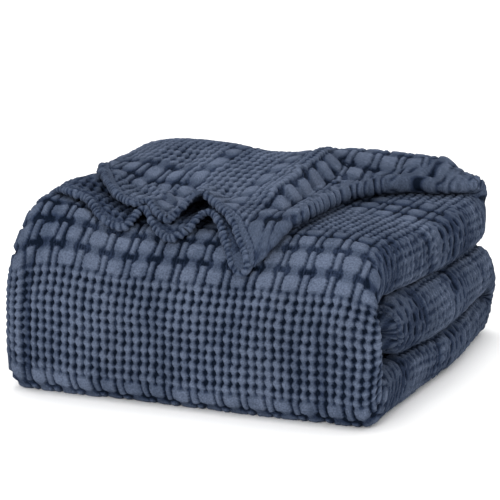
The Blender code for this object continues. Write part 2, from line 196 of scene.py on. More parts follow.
@dataclass(frozen=True)
class Folds:
    """Where every point of the cloth lies once it is folded, with the sizes of the folds.

    A point is named by its section, which follows the cloth across the strip from one hem to
    the other, and by its path, which follows the strip through its runs.  Section units are
    the outermost part folded in (0 to 1), the outer right fold, the outer layer (2 to 3), the
    left fold, and the two inner layers with the fold between them.

    In the methods, across is a fraction of the strip's width from its left edge, depth is 0 in
    the outermost layer and 1 in the innermost, along is a fraction of a run's length, and way
    is the distance forward over the flap, along the top and then down the front.  The fields
    are in metres and the tables in millimetres.  A pair of sizes is for the outermost and the
    innermost layer where nothing else is said.
    """

    # The strip in plan: x of its edges, how far they move for each metre back, and the bulge
    # of the right edge (height, place, half width).
    sheet: float = 0.004
    width: Pair = (-0.197, 0.200)
    spread: Pair = (0.03, 0.06)
    right_bulge: Triple = (0.008, 0.030, 0.090)
    # The front face: y at floor level, its lean for each metre of height, and its thickness.
    front: float = -0.190
    front_lean: float = 0.10
    front_depth: float = 0.030
    # The middle run's front end (y at the right, how much further forward at the left), and
    # where the turns at the back start.
    middle_end: Pair = (-0.132, 0.013)
    back_turn_at: float = 0.158
    rear_turn_at: float = 0.155
    # The runs' lowest and highest layer at the first y of the span, then at the second.
    height_span: Pair = (-0.130, 0.150)
    bottom_heights: Values = (0.002, 0.0500, 0.002, 0.0420)
    middle_heights: Values = (0.0555, 0.1165, 0.0475, 0.1025)
    top_heights: Values = (0.1220, 0.1710, 0.1080, 0.1600)
    back_turn_reach: Pair = (0.026, 0.005)
    rear_turn_reach: Pair = (0.005, 0.038)
    bottom_corner_radius: Pair = (0.021, 0.007)
    top_corner_radius: Pair = (0.045, 0.008)
    # The side folds, as fractions across: where each starts, how far it reaches, how full it
    # is, and how the layers close up at the left, the right and the middle run's end.
    outer_fold_at: float = 0.94
    fold_fullness: float = 0.62
    inner_fold: Pair = (0.86, 0.025)
    left_fold_at: float = 0.025
    inner_hem_at: float = 0.03
    left_rounding: Pair = (0.10, 0.14)
    right_pinch: Pair = (0.90, 0.72)
    end_rounding: Pair = (0.050, 0.35)
    # The flap: its sheets' rest heights over the top run, the upper one's in front and at the
    # back with where it changes, and what lifts them.
    lower_height: float = 0.0068
    upper_height: Pair = (0.0165, 0.0242)
    upper_change: Pair = (0.02, 0.12)
    least_gap: float = 0.0066
    ruffle_reach: float = 0.075
    # (height, reach to the left, way of its end, length it fades over)
    ridge: Values = (0.010, 0.024, 0.125, 0.06)
    # (height, x, half width, way of its end, length it fades over)
    swell: Values = (0.008, -0.115, 0.085, 0.06, 0.20)
    roll: Pair = (0.004, 0.010)
    left_droop: Triple = (0.008, 0.172, 0.030)
    # How the stack sags (height, where it starts, length it takes), and its long waves.  The
    # sag grows from nothing on the floor over the first height, and the sides' lean over the
    # second distance from the middle.
    lift_over: float = 0.17
    sides_over: float = 0.2
    left_rise: Pair = (0.018, 0.005)
    left_rise_from: Pair = (0.08, 0.12)
    right_sag: Triple = (0.006, 0.14, 0.06)
    crown: Triple = (0.020, 0.045, 0.080)
    crown_across: Pair = (-0.060, 0.118)
    crown_above: Pair = (0.105, 0.06)
    back_drop: Triple = (0.009, 0.09, 0.08)
    wave: float = 0.0020
    side_wave: Pair = (0.26, 0.15)
    front_wave: Pair = (0.31, 0.2)
    top_wave: Triple = (0.37, 0.45, 1.0)
    middle: Pair = (0.0074, 0.0034)
    # How finely a line of the cloth is followed before it is spaced evenly, per unit.
    samples_across: int = 400
    samples_along: int = 200
    # The hems: x, way, height over the top run.
    lower_hem: Rows = (
        (-202, 100, 8), (-180, 132, 8), (-162, 144, 10), (-141, 147, 11), (-117, 164, 8),
        (-98, 169, 7), (-85, 167, 8), (-71, 152, 18), (-50, 168, 10), (-33, 175, 7),
        (-19, 169, 9), (0, 149, 19), (13, 156, 17), (27, 174, 9), (37, 191, 8), (47, 204, 7),
    )
    upper_hem: Rows = (
        (-202, -25, 10), (-149, 81, 19), (-128, 112, 22), (-106, 136, 21), (-87, 147, 21),
        (-72, 146, 20), (-52, 155, 17), (-38, 160, 15), (-27, 154, 22), (-16, 136, 33),
        (-2, 138, 30), (14, 148, 24), (30, 159, 19), (44, 175, 16), (61, 195, 14),
    )
    # Where the flap's sheets fold into each other, from the back to the tip: x, way.
    fold_line: Rows = (
        (209, -155), (192, -143), (175, -126), (156, -114), (132, -98), (112, -60), (102, -33),
        (99, 10), (100, 60), (101, 105), (99, 138), (93, 161), (80, 180), (61, 195),
    )
    # The ridge and the roll of the upper sheet: way, x of the ridge, its reach to the right,
    # x of the roll.
    creases: Rows = (
        (-155, 48, 190, 168), (-125, 42, 60, 140), (-95, 42, 26, 122), (-50, 44, 20, 104),
        (0, 44, 18, 95), (67, 45, 17, 95), (120, 47, 16, 94), (170, 49, 16, 90),
    )
    # Creases of the sheets: x and way of one end, x and way of the other, half width, height.
    upper_creases: Rows = (
        (60, -150, 150, -142, 25, 4), (180, -120, 202, -160, 18, -8), (41, -130, 49, 0, 8.0, 3.5),
        (49, 0, 46, 100, 8.0, 3.5), (68, -110, 66, -8, 7.0, -5.0), (66, -8, 71, 110, 7.0, -5.5),
        (78, -62, 128, -112, 6.5, -5.0), (128, -112, 176, -136, 6.0, -4.0),
        (-96, 72, -50, 108, 8.0, 5.0), (-90, 58, -58, 76, 7.0, -3.0),
        (-47, 146, -55, 80, 7.0, -5.0), (-55, 80, -52, 36, 8.0, -3.5),
        (-20, 128, -34, 60, 10.0, 3.0), (-6, 60, 8, 128, 9.0, -3.5),
        (-150, 60, -120, -40, 16.0, 2.0), (-118, 60, -88, -20, 13.0, -2.5),
        (10, -60, -30, -120, 14.0, -2.0),
    )
    lower_creases: Rows = (
        (-190, 60, -165, -40, 20, 7), (-156, 96, -128, 74, 14.0, -6.5),
        (-128, 74, -96, 96, 14.0, -6.5), (-70, 100, -71, 60, 10.0, 3.0),
    )
    # How the sides lean in: height, how far at the left, how far at the right.
    side_lean: Rows = (
        (0, 10, 0), (25, 5, 0), (45, 4, -2), (70, 4, -3), (95, 4, 0),
        (115, 6, 4), (135, 9, 8), (165, 14, 8), (200, 16, 8),
    )

    def section(self, section: Grid) -> Grids:
        """Fractions across the strip and in depth of the points of its section.

        The layers are straight and the folds are half ellipses; the outer right fold is made
        fuller by a power of its sine.

        Args:
            section: positions from 0 to 7.

        Returns:
            The fraction across, 0 at the left, and the depth, 0 in the outermost layer.
        """
        part = np.clip(section - np.floor(section), 0.0, 1.0)
        angle = math.pi * part
        third = 1.0 / 3.0
        one = np.ones_like(part)
        fold_at, fold_reach = self.inner_fold
        outer = self.outer_fold_at
        choices = (
            (outer * part, one),
            (outer + (1 - outer) * np.sin(angle) ** self.fold_fullness, 0.5 + 0.5 * np.cos(angle)),
            (between((outer, self.left_fold_at), part), 0 * one),
            (self.left_fold_at * (1 - np.sin(angle)), third / 2 * (1 - np.cos(angle))),
            (between((self.left_fold_at, fold_at), part), third * one),
            (fold_at + fold_reach * np.sin(angle), 0.5 - third / 2 * np.cos(angle)),
            (between((fold_at, self.inner_hem_at), part), 2 * third * one),
        )
        stretch = np.clip(np.floor(section), 0, len(choices) - 1)
        places = [stretch == number for number in range(len(choices))]
        across = np.select(places, [choice[0] for choice in choices])
        depth = np.select(places, [choice[1] for choice in choices])
        last = section >= END_OF_SECTION
        return np.where(last, self.inner_hem_at, across), np.where(last, 2 * third, depth)

    def heights(self, run: Values, y: Grid) -> Grids:
        """Lowest and highest layer of a run at a place along the depth, straight between ends.

        Args:
            run: the run's four heights.
            y: where along the depth.

        Returns:
            The two heights.
        """
        start, end = self.height_span
        share = np.clip((y - start) / (end - start), 0.0, 1.0)
        return between((run[0], run[2]), share), between((run[1], run[3]), share)

    def upward(self, run: Values, y: Grid, layer: Grid) -> Grid:
        """Height of a layer of a run, with depth counted up from the lowest layer."""
        low, high = self.heights(run, y)
        return low + layer * (high - low)

    def downward(self, run: Values, y: Grid, layer: Grid) -> Grid:
        """Height of a layer of a run, with depth counted down from the highest layer."""
        low, high = self.heights(run, y)
        return high - layer * (high - low)

    def closeness(self, across: Grid) -> Grid:
        """1 in the middle of the strip, less by a parabola where the left side closes up."""
        reach, squeeze = self.left_rounding
        return 1.0 - squeeze * np.clip(1.0 - across / reach, 0.0, 1.0) ** 2

    def layer(self, spot: Spot, held: Grid | float, pinch: Grid | float = 0.0) -> Grid:
        """Depth of a layer after the left closes up and the front's right edge thins.

        Args:
            spot: the points.
            held: 0 where the outermost layer stays in place, 1 where the innermost does.
            pinch: how much the right edge thins.

        Returns:
            The depth it comes to.
        """
        close = self.closeness(spot.across)
        closed = spot.depth * close + held * (1.0 - close)
        start = self.right_pinch[0]
        return closed * (1.0 - pinch * ramp(spot.across, start, 1.0 - start))

    def edges(self, y: Grid) -> Grids:
        """The strip's edges: straight lines, the right one with a bump.

        Args:
            y: where along the depth.

        Returns:
            x of the left and of the right edge.
        """
        height, place, width = self.right_bulge
        left = self.width[0] + self.spread[0] * y
        return left, self.width[1] + self.spread[1] * y + height * bump(y - place, width)

    def to_x(self, across: Grid, y: Grid) -> Grid:
        """x of a point from its fraction across the strip."""
        return between(self.edges(y), across)

    def top_height(self, x: Grid, y: Grid) -> Grid:
        """Height of the top run's uppermost layer, lower where the left closes up.

        Args:
            x: place across.
            y: place along the depth.

        Returns:
            The height.
        """
        left, right = self.edges(y)
        close = self.closeness(np.clip((x - left) / (right - left), 0.0, 1.0))
        return self.downward(self.top_heights, y, 1.0 - close)

    def middle_run(self, spot: Spot) -> Grids:
        """The run in the middle of the stack: straight back, closing up at its front end.

        Args:
            spot: the points.

        Returns:
            y and z.
        """
        start = self.middle_end[0] - self.middle_end[1] * (1.0 - spot.across)
        y = between((start, self.back_turn_at), spot.along)
        low, high = self.heights(self.middle_heights, y)
        reach, squeeze = self.end_rounding
        end = 1.0 - squeeze * np.clip(1.0 - (y - start) / reach, 0.0, 1.0) ** 2
        return y, (low + high) / 2 + (0.5 - self.layer(spot, 0.5)) * (high - low) * end

    def back_turn(self, spot: Spot) -> Grids:
        """The turn at the back down to the bottom run: half an ellipse.

        Args:
            spot: the points.

        Returns:
            y and z.
        """
        place = self.back_turn_at
        upper = self.downward(self.middle_heights, place, self.layer(spot, 0.5))
        lower = self.upward(self.bottom_heights, place, self.layer(spot, 0.0))
        angle = math.pi * spot.along
        y = place + between(self.back_turn_reach, spot.depth) * np.sin(angle)
        return y, (upper + lower) / 2 + (upper - lower) / 2 * np.cos(angle)

    def bottom_run(self, spot: Spot) -> Grids:
        """The run on the floor: straight forward to the front corner.

        Args:
            spot: the points.

        Returns:
            y and z.
        """
        radius = between(self.bottom_corner_radius, spot.depth)
        corner = self.front + self.front_depth * spot.depth + radius
        y = between((self.back_turn_at, corner), spot.along)
        return y, self.upward(self.bottom_heights, y, self.layer(spot, 0.0))

    def bottom_corner(self, spot: Spot) -> Grids:
        """The quarter turn from the floor up into the front face: a quarter circle.

        The right edge has thinned by the middle of the turn.

        Args:
            spot: the points.

        Returns:
            y and z.
        """
        angle = math.pi / 2 * spot.along
        rise = ease(spot.along)
        inside = self.layer(spot, rise, self.right_pinch[1] * ease(2.0 * spot.along))
        radius = between(self.bottom_corner_radius, spot.depth)
        start = self.front + self.front_depth * (spot.depth * (1.0 - rise) + inside * rise)
        layer = self.layer(spot, rise)
        floor = self.upward(self.bottom_heights, self.height_span[0], layer)
        return start + radius * (1.0 - np.sin(angle)), floor + radius * (1.0 - np.cos(angle))

    def front_face(self, spot: Spot) -> Grids:
        """The tall front face: straight up between its corners.

        Args:
            spot: the points.

        Returns:
            y and z.
        """
        inside = self.layer(spot, 1.0, self.right_pinch[1])
        layer = self.layer(spot, 1.0)
        bottom = self.upward(self.bottom_heights, self.height_span[0], layer)
        bottom = bottom + between(self.bottom_corner_radius, spot.depth)
        top = self.downward(self.top_heights, self.height_span[0], layer)
        top = top - between(self.top_corner_radius, spot.depth)
        return self.front + self.front_depth * inside, between((bottom, top), spot.along)

    def top_corner(self, spot: Spot) -> Grids:
        """The quarter turn from the front face back over the top: a quarter circle.

        Args:
            spot: the points.

        Returns:
            y and z.
        """
        angle = math.pi / 2 * spot.along
        inside = self.layer(spot, 1.0, self.right_pinch[1] * (1.0 - ease(spot.along)))
        radius = between(self.top_corner_radius, spot.depth)
        layer = self.layer(spot, 1.0)
        top = self.downward(self.top_heights, self.height_span[0], layer)
        y = self.front + self.front_depth * inside + radius * (1.0 - np.cos(angle))
        return y, top - radius * (1.0 - np.sin(angle))

    def top_run(self, spot: Spot) -> Grids:
        """The run on top: straight back to the rear turn.

        Args:
            spot: the points.

        Returns:
            y and z.
        """
        inside = self.layer(spot, 1.0)
        radius = between(self.top_corner_radius, spot.depth)
        corner = self.front + self.front_depth * inside + radius
        y = between((corner, self.rear_turn_at), spot.along)
        return y, self.downward(self.top_heights, y, inside)

    def rear_turn(self, spot: Spot) -> Grids:
        """The turn at the back up into the flap: half an ellipse.

        Args:
            spot: the points.

        Returns:
            y and z.
        """
        place = self.rear_turn_at
        lower = self.downward(self.top_heights, place, self.layer(spot, 1.0))
        x = self.to_x(spot.across, place)
        rise = self.flap_height(x, np.full_like(x, -place), spot.depth)
        upper = self.top_height(x, place) + rise
        angle = math.pi * spot.along
        y = place + between(self.rear_turn_reach, spot.depth) * np.sin(angle)
        return y, (upper + lower) / 2 - (upper - lower) / 2 * np.cos(angle)

    def ruffle(self, hem: Rows, x: Grid, way: Grid, rest: float) -> Grid:
        """How far a hem's ruffle lifts the sheet over its resting height, behind that hem.

        Args:
            hem: the hem's table.
            x: place across.
            way: place forward.
            rest: the sheet's resting height.

        Returns:
            The lift: full at the hem, easing to nothing over the ruffle's reach behind it.
        """
        hem_way = curve(x / MM, hem, 1) * MM
        lift = curve(x / MM, hem, 2) * MM - rest
        return lift * ease(1.0 - (hem_way - way) / self.ruffle_reach)

    def lower_sheet(self, x: Grid, way: Grid) -> Grid:
        """Height of the flap's lower sheet above the top run."""
        creases = creased(x / MM, way / MM, self.lower_creases) * MM
        return self.lower_height + creases + self.ruffle(self.lower_hem, x, way, self.lower_height)

    def upper_sheet(self, x: Grid, way: Grid) -> Grid:
        """Height of the flap's upper sheet above the top run: its rest, ridge, roll and swell.

        Args:
            x: place across.
            way: place forward.

        Returns:
            The height, never nearer to the lower sheet than the least gap.
        """
        rest = between(self.upper_height, ramp(-way, *self.upper_change))
        height, left_reach, end, fade = self.ridge
        past = x - curve(way / MM, self.creases, 1) * MM
        reach = np.where(past < 0.0, left_reach, curve(way / MM, self.creases, 2) * MM)
        ridge = height * bump(past, reach) * ramp(-way, -end, fade)
        height, width = self.roll
        roll = height * bump(x - curve(way / MM, self.creases, 3) * MM, width)
        height, place, width, end, fade = self.swell
        swell = height * bump(x - place, width) * ramp(-way, -end, fade)
        ruffle = self.ruffle(self.upper_hem, x, way, self.upper_height[0])
        creases = creased(x / MM, way / MM, self.upper_creases) * MM
        total = rest + ridge + roll + swell + ruffle + creases
        return np.maximum(total, self.lower_sheet(x, way) + self.least_gap)

    def flap_height(self, x: Grid, way: Grid, depth: Grid) -> Grid:
        """Height of any layer of the flap: the outermost is below, the innermost on top."""
        return between((self.lower_sheet(x, way), self.upper_sheet(x, way)), depth)

    @staticmethod
    def along_table(rows: Rows, fraction: Grid) -> Grids:
        """A smooth curve in plan through a table's points.

        Args:
            rows: the points, in millimetres.
            fraction: the fraction of the curve's length at each point wanted.

        Returns:
            x and way.
        """
        points = np.array(rows, float)[:, :2] * MM
        lengths = run_length(points)
        table = tuple(zip(lengths / lengths[-1], points[:, 0], points[:, 1]))
        return curve(fraction, table, 1), curve(fraction, table, 2)

    def plan(self, across: Grid, forward: Grid, hem: Rows) -> Grids:
        """Plan of a flap sheet: a Coons patch between the rear turn, a hem and two sides.

        Opposite sides are each carried over the sheet in straight lines and summed, and the
        straight sheet through the four corners is taken away.

        Args:
            across: fraction across the sheet.
            forward: fraction from the rear turn to the hem.
            hem: the hem's table.

        Returns:
            x, and the way forward over the top and down the front.
        """
        back = -self.rear_turn_at
        left_x = self.to_x(np.zeros(1), self.rear_turn_at)[0]
        right_x = self.to_x(np.ones(1), self.rear_turn_at)[0]
        start = (self.to_x(across, self.rear_turn_at), np.full_like(across, back))
        finish = self.along_table(hem, across)
        line = self.along_table(self.fold_line, forward)
        result = []
        for k in range(2):
            tip = hem[-1][k] * MM
            right = line[k] + (tip - self.fold_line[-1][k] * MM) * forward**4
            left_start = (left_x, back)[k]
            right_start = (right_x, back)[k]
            left_end = hem[0][k] * MM
            left = left_start + (left_end - left_start) * forward
            corners = (1 - across) * ((1 - forward) * left_start + forward * left_end)
            corners = corners + across * ((1 - forward) * right_start + forward * tip)
            sides = (1 - across) * left + across * right
            result.append((1 - forward) * start[k] + forward * finish[k] + sides - corners)
        return result[0], result[1]

    def over_edge(self, x: Grid, way: Grid, height: Grid) -> Grid:
        """Place a flap point: along the top, round the front corner and down the front.

        Args:
            x: place across.
            way: place forward.
            height: height above the top run, or distance out from the corner and the front.

        Returns:
            The points.
        """
        radius = self.top_corner_radius[0]
        corner = self.front + radius
        turn = np.clip((way + corner) / radius, 0.0, math.pi / 2)
        down = np.maximum(way + corner - radius * math.pi / 2, 0.0)
        past = way > -corner
        y = np.where(past, corner - (radius + height) * np.sin(turn), -way)
        front_top = self.top_height(x, corner)
        over = front_top - radius + (radius + height) * np.cos(turn) - down
        z = np.where(past, over, self.top_height(x, -way) + height)
        return np.stack([x, y, z], -1)

    def flap(self, across: Grid, depth: Grid, forward: Grid) -> Grid:
        """The flap: its lower and upper sheets, and straight between them for the fold.

        Args:
            across: fraction across the sheets.
            depth: depth of the layer.
            forward: fraction from the rear turn to the hem.

        Returns:
            The points.
        """
        low = self.plan(across, forward, self.lower_hem)
        up = self.plan(across, forward, self.upper_hem)
        lower = self.over_edge(*low, self.lower_sheet(*low) - self.droop(low[0]))
        upper = self.over_edge(*up, self.upper_sheet(*up) - self.droop(up[0]))
        return between((lower, upper), depth[..., None])

    def droop(self, x: Grid) -> Grid:
        """How far the flap's left edge curls down over the side."""
        depth, start, reach = self.left_droop
        return depth * ramp(-x, start, reach)

    def settle(self, points: Grid) -> Grid:
        """Lean the faces, sag the stack unevenly above its flat bottom, and centre it.

        The lean of the front grows with height, the sides follow a table, and the sag is a sum
        of a rise at the left, a sag at the right, a crown on top and long low waves.

        Args:
            points: the folded cloth's points.

        Returns:
            The points moved.
        """
        x, y, z = points[..., 0], points[..., 1], points[..., 2]
        lift = np.clip((z - self.sheet) / self.lift_over, 0.0, 1.0)
        lean = self.front_lean * z * np.clip(-y / self.lift_over, 0.0, 1.0)
        left_in = curve(z / MM, self.side_lean, 1) * MM * ease(-x / self.sides_over)
        right_in = curve(z / MM, self.side_lean, 2) * MM * ease(x / self.sides_over)
        length, rise = self.side_wave
        side = self.wave * np.sin(TURN * (y / length + z / rise))
        length, shift = self.front_wave
        front = self.wave * np.sin(TURN * (x / length + shift))
        length, rise, shift = self.top_wave
        sag = self.wave * np.sin(TURN * (x / length + y / rise) + shift)
        start, end = self.height_span
        back = ease((y - start) / (end - start))
        sag = sag + between(self.left_rise, back) * ramp(-x, *self.left_rise_from)
        drop, *from_to = self.right_sag
        sag = sag - drop * ramp(x, *from_to)
        height, place, length = self.crown
        across = np.exp(-(np.abs((x - self.crown_across[0]) / self.crown_across[1]) ** 4))
        crown = height * bump(y - place, length) * across
        drop, *from_to = self.back_drop
        crown = crown - drop * ramp(y, *from_to) * across
        sag = sag + crown * ramp(z, *self.crown_above)
        moved_x = x + lift * side + left_in - right_in - self.middle[0]
        moved_y = y + lean + lift * front - self.middle[1]
        return np.stack([moved_x, moved_y, z + lift * sag], -1)

    def place(self, section: Grid, path: Grid) -> Grid:
        """Points of the cloth's middle surface on a grid of path rows and section columns.

        Args:
            section: the columns, positions from 0 to 7.
            path: the rows, positions from 0 to 9.

        Returns:
            An array of rows by columns by x, y, z.
        """
        across, depth = self.section(np.asarray(section, float))
        path = np.asarray(path, float)
        run_of = np.clip(np.floor(path), 0, Run.FLAP.value).astype(int)
        points = np.empty((len(path), len(across), 3))
        makers = (
            self.middle_run,
            self.back_turn,
            self.bottom_run,
            self.bottom_corner,
            self.front_face,
            self.top_corner,
            self.top_run,
            self.rear_turn,
        )
        for run in Run:
            rows = run_of == run.value
            if not rows.any():
                continue
            shape = (int(rows.sum()), len(across))
            wide = np.broadcast_to(across, shape)
            deep = np.broadcast_to(depth, shape)
            far = np.broadcast_to((path[rows] - run.value)[:, None], shape)
            if run is Run.FLAP:
                points[rows] = self.flap(wide, deep, far)
                continue
            y, z = makers[run.value](Spot(wide, deep, far))
            y = np.broadcast_to(y, shape)
            points[rows] = np.stack([self.to_x(wide, y), y, np.broadcast_to(z, shape)], -1)
        return self.settle(points)

    def flap_plan(self, section: Grid, path: Grid) -> Grids:
        """x and way of the flap's points, in metres, before the cloth settles.

        Args:
            section: the columns, positions from 0 to 3.
            path: the rows, positions from 8 to 9.

        Returns:
            x and way, each rows by columns.
        """
        across, depth = self.section(np.asarray(section, float))
        shape = (len(path), len(across))
        wide = np.broadcast_to(across, shape)
        deep = np.broadcast_to(depth, shape)
        far = np.broadcast_to((np.asarray(path, float) - Run.FLAP.value)[:, None], shape)
        low = self.plan(wide, far, self.lower_hem)
        up = self.plan(wide, far, self.upper_hem)
        return between((low[0], up[0]), deep), between((low[1], up[1]), deep)

    def columns_between(self, start: float, end: float, row: float, step: float) -> Grid:
        """Section positions spaced evenly along the cloth on one row.

        Args:
            start: first position.
            end: last position.
            row: the path position of the row that is measured.
            step: the widest spacing, in metres.

        Returns:
            The positions.
        """
        dense = np.linspace(start, end, int(self.samples_across * abs(end - start)) + 2)
        return spaced(dense, self.place(dense, np.array([row]))[0], step)

    def rows_between(self, start: float, end: float, column: float, step: float) -> Grid:
        """Path positions spaced evenly along the cloth on one column.

        Args:
            start: first position.
            end: last position.
            column: the section position of the column that is measured.
            step: the widest spacing, in metres.

        Returns:
            The positions.
        """
        dense = np.linspace(start, end, int(self.samples_along * abs(end - start)) + 2)
        return spaced(dense, self.place(np.array([column]), dense)[:, 0], step)


class Draw(float, Enum):
    """The uneven patterns: each turns the scatter of stitches or the lumps another way."""

    CORD = 0.0
    PUFF_WIDTH = 1.0
    PUFF_TOP = 2.0
    CHAIN_SHIFT = 3.0
    HOLE = 4.0
    BAR_SHIFT = 5.0
    PUFF_DENT = 6.0
    BAR_STRENGTH = 7.0
    BAR_TOP = 8.0
    SLIT = 9.0
    LUMPS = 11.0
    HEM_LUMPS = 12.0
    PLEATS = 13.0
    HEM_BAND = 14.0
    GROUND = 15.0
    HEM_PHASE = 16.0


def scatter(first: Grid, second: Grid, turn: float) -> Grid:
    """An even scatter from -1 to 1, one value for each cell: the fraction of a large sine."""
    value = np.sin(first * 12.9898 + second * 78.233 + turn) * 43758.5453
    return 2.0 * (value - np.floor(value)) - 1.0


def grain(first: Grid, second: Grid, size: float, turn: float) -> Grid:
    """Smooth lumps from -1 to 1: a scatter on a square lattice, eased from corner to corner.

    Args:
        first: place across.
        second: place along.
        size: the lattice's spacing, in the same unit.
        turn: picks the pattern.

    Returns:
        The lumps' height at each point.
    """
    first, second = first / size, second / size
    left, low = np.floor(first), np.floor(second)
    right_share, high_share = ease(first - left), ease(second - low)
    bottom = between((scatter(left, low, turn), scatter(left + 1, low, turn)), right_share)
    top = between((scatter(left, low + 1, turn), scatter(left + 1, low + 1, turn)), right_share)
    return between((bottom, top), high_share)


def wander(first: Grid, second: Grid, rows: Rows) -> Grids:
    """Let the threads wander: each place moves by two sizes of lumps.

    Args:
        first: place across, in millimetres.
        second: place along, in millimetres.
        rows: for across, then for along: lump size, height and pattern, twice.

    Returns:
        The moved places.
    """
    moved = []
    for place, row in zip((first, second), rows):
        large, small = row[:3], row[3:]
        shift = large[1] * grain(first, second, large[0], large[2])
        moved.append(place + (shift + small[1] * grain(first, second, small[0], small[2])))
    return moved[0], moved[1]


@dataclass(frozen=True)
class Waffle:
    """Relief of the weave in millimetres above and below the cloth's plain surface.

    Fine panels have knobbly ribs along the strip with rows of holes between them.  Bands of
    puffs have chains of flat lozenges joined by necks, a short twisted rib between two puffs
    and a dark slit between two necks.  Three fine columns go to one chain.  Round a fold the
    rows draw out into bars.  Widths and lengths are in millimetres, or in cells where a
    comment says so; a pair is for the neck and for the bead or puff.
    """

    # Where the chains lie across the strip, and how much wider each is than the last.
    first_chain: float = 25.5
    chain_pitch: float = 25.2
    chain_widening: float = 0.075
    chain_mm: float = 25.6
    row_mm: float = 32.7
    fine_to_chain: float = 3.0
    # The fine panel, in cells: half width of a cord, its top and the floor beside it in
    # millimetres, and how far it leans to and fro.
    rib_half: Pair = (0.265, 0.47)
    rib_top: Pair = (0.45, 1.50)
    rib_floor: Pair = (-2.8, -1.5)
    rib_lean: float = 0.05
    # How uneven it is: the cord's place, the row's place, the cord's width, top and hole.
    rib_uneven: Values = (0.055, 0.04, 0.08, 0.25, 0.45)
    # A chain: half width and top; start and length of the puff's end, in half rows.
    chain_half: Pair = (4.7, 8.2)
    chain_top: Pair = (-0.55, 1.15)
    puff_length: Pair = (0.34, 0.54)
    # How uneven it is: the puff's width and top, and the wavy edge (share, turns, per chain).
    puff_uneven: Pair = (0.11, 0.12)
    puff_edge: Triple = (0.045, 41.0, 5.0)
    chain_edge: Pair = (0.7, 1.9)
    chain_shift: float = 0.8
    # On a puff: the pleats' pitch and height, how it domes across and along, and its dent.
    pleat: Pair = (2.8, 0.16)
    dome: Pair = (0.45, 0.30)
    dent: Pair = (2.0, 0.25)
    # Between the chains: the ground with its threads (pitch and height, lump size and height),
    # the slit, and the short rib (half width, half length, top) with its twist.
    ground: float = 2.2
    ground_thread: Values = (2.9, 0.35, 0.9, 0.3)
    slit_depth: float = 0.7
    slit_half: float = 1.0
    slit_soft: Pair = (0.35, 2.6)
    short_rib: Triple = (3.2, 12.4, 0.95)
    rib_end: Pair = (1.2, 2.4)
    twist: Pair = (3.4, 0.25)
    # Bars round a fold: top, depth and half width of the slits.
    bar: Triple = (1.25, 4.0, 3.5)
    # A slit wavers (height, turns for each chain, turn from bar to bar) and shifts; it comes
    # and goes with a beat (for each chain, for each bar, uneven part and its pace), which
    # sets its strength (least, more, steepness) and its width (least, more).
    bar_waver: Triple = (0.9, 1.3, 2.1)
    bar_shift: float = 1.3
    bar_beat: Values = (2.0, 0.5, 0.3, 3.0)
    slit_strength: Triple = (0.25, 0.75, 1.8)
    slit_uneven: Pair = (0.75, 0.25)
    slit_width: Pair = (0.75, 0.45)
    # A bar's top: how uneven, how deep its waist and its fall to the sides, and its threads.
    bar_uneven: float = 0.3
    bar_waist: Pair = (0.55, 0.75)
    bar_thread: Pair = (3.1, 0.14)
    # On the flap: the bars' pitch, slant, bends (height, length, shift) and size.  On the
    # strip: how many small bars a fine row draws out into and their size, the fine rows to a
    # row of puffs, and the shares of the fine panel and of the bars there.
    bar_mm: float = 19.0
    bar_slant: float = 1.9
    bar_bends: Rows = ((0.34, 23.0, 0.0), (0.14, 9.5, 1.0))
    flap_bar_size: float = 0.92
    thread: Pair = (1.5, 0.52)
    fine_to_row: float = 3.1
    drawn_mix: Pair = (0.3, 0.9)
    # A cord is fuller than a half ellipse: its height is raised to this power.
    side_power: float = 0.8
    lumps: Rows = (
        # (size in millimetres, height in millimetres)
        (2.3, 0.32), (5.5, 0.30), (11.0, 0.36), (38.0, 0.60),
    )
    creases: Rows = (
        # (across and along of one end, of the other end, half width, height), millimetres
        (13, 872, 14.5, 766, 4.5, -4.4), (2, 872, 3, 760, 6.0, 2.0), (3, 955, 8, 900, 8.0, 3.0),
        (8, 900, 7, 872, 7.0, 2.0), (21, 940, 22, 892, 6.0, -2.6),
        (150, 850, 162, 785, 12.0, -1.0), (228, 775, 240, 850, 14.0, 1.0),
        (322, 850, 326, 770, 5.0, -1.8), (316, 762, 322, 738, 4.5, -2.6),
        (90, 775, 96, 740, 9.0, -1.2), (205, 770, 200, 738, 9.0, -1.2),
        (356, 1045, 402, 1062, 5.0, -2.4), (362, 1132, 402, 1118, 5.0, -2.2),
        (352, 985, 392, 968, 6.0, -2.0), (372, 62, 412, 72, 5.0, -2.6),
        (380, 168, 414, 150, 5.0, -2.2), (378, 250, 412, 262, 6.0, -2.2),
        (392, 692, 424, 688, 5.0, -2.2), (390, 604, 420, 590, 5.0, -2.2),
        (394, 500, 418, 508, 5.0, -2.0),
    )
    bands: Rows = (
        # (start in millimetres along the path, fine rows, puff rows, 1 where it is puffs)
        (-22, 9, 3, 1), (76, 6, 2, 0), (134, 6, 2, 1), (195, 9, 3, 0), (290, 9, 3, 1),
        (388, 12, 4, 0), (513, 6, 2, 1), (575, 9, 3, 0), (672, 10, 5, 1), (777, 10, 3, 0),
        (873, 9, 4, 1), (971, 9, 3, 0), (1070, 10, 3, 1), (1175, 7, 2, 0), (1250, 6, 2, 1),
        (1320, 6, 2, 1),
    )
    band_inset: float = 4.0
    edge_softness: float = 3.0
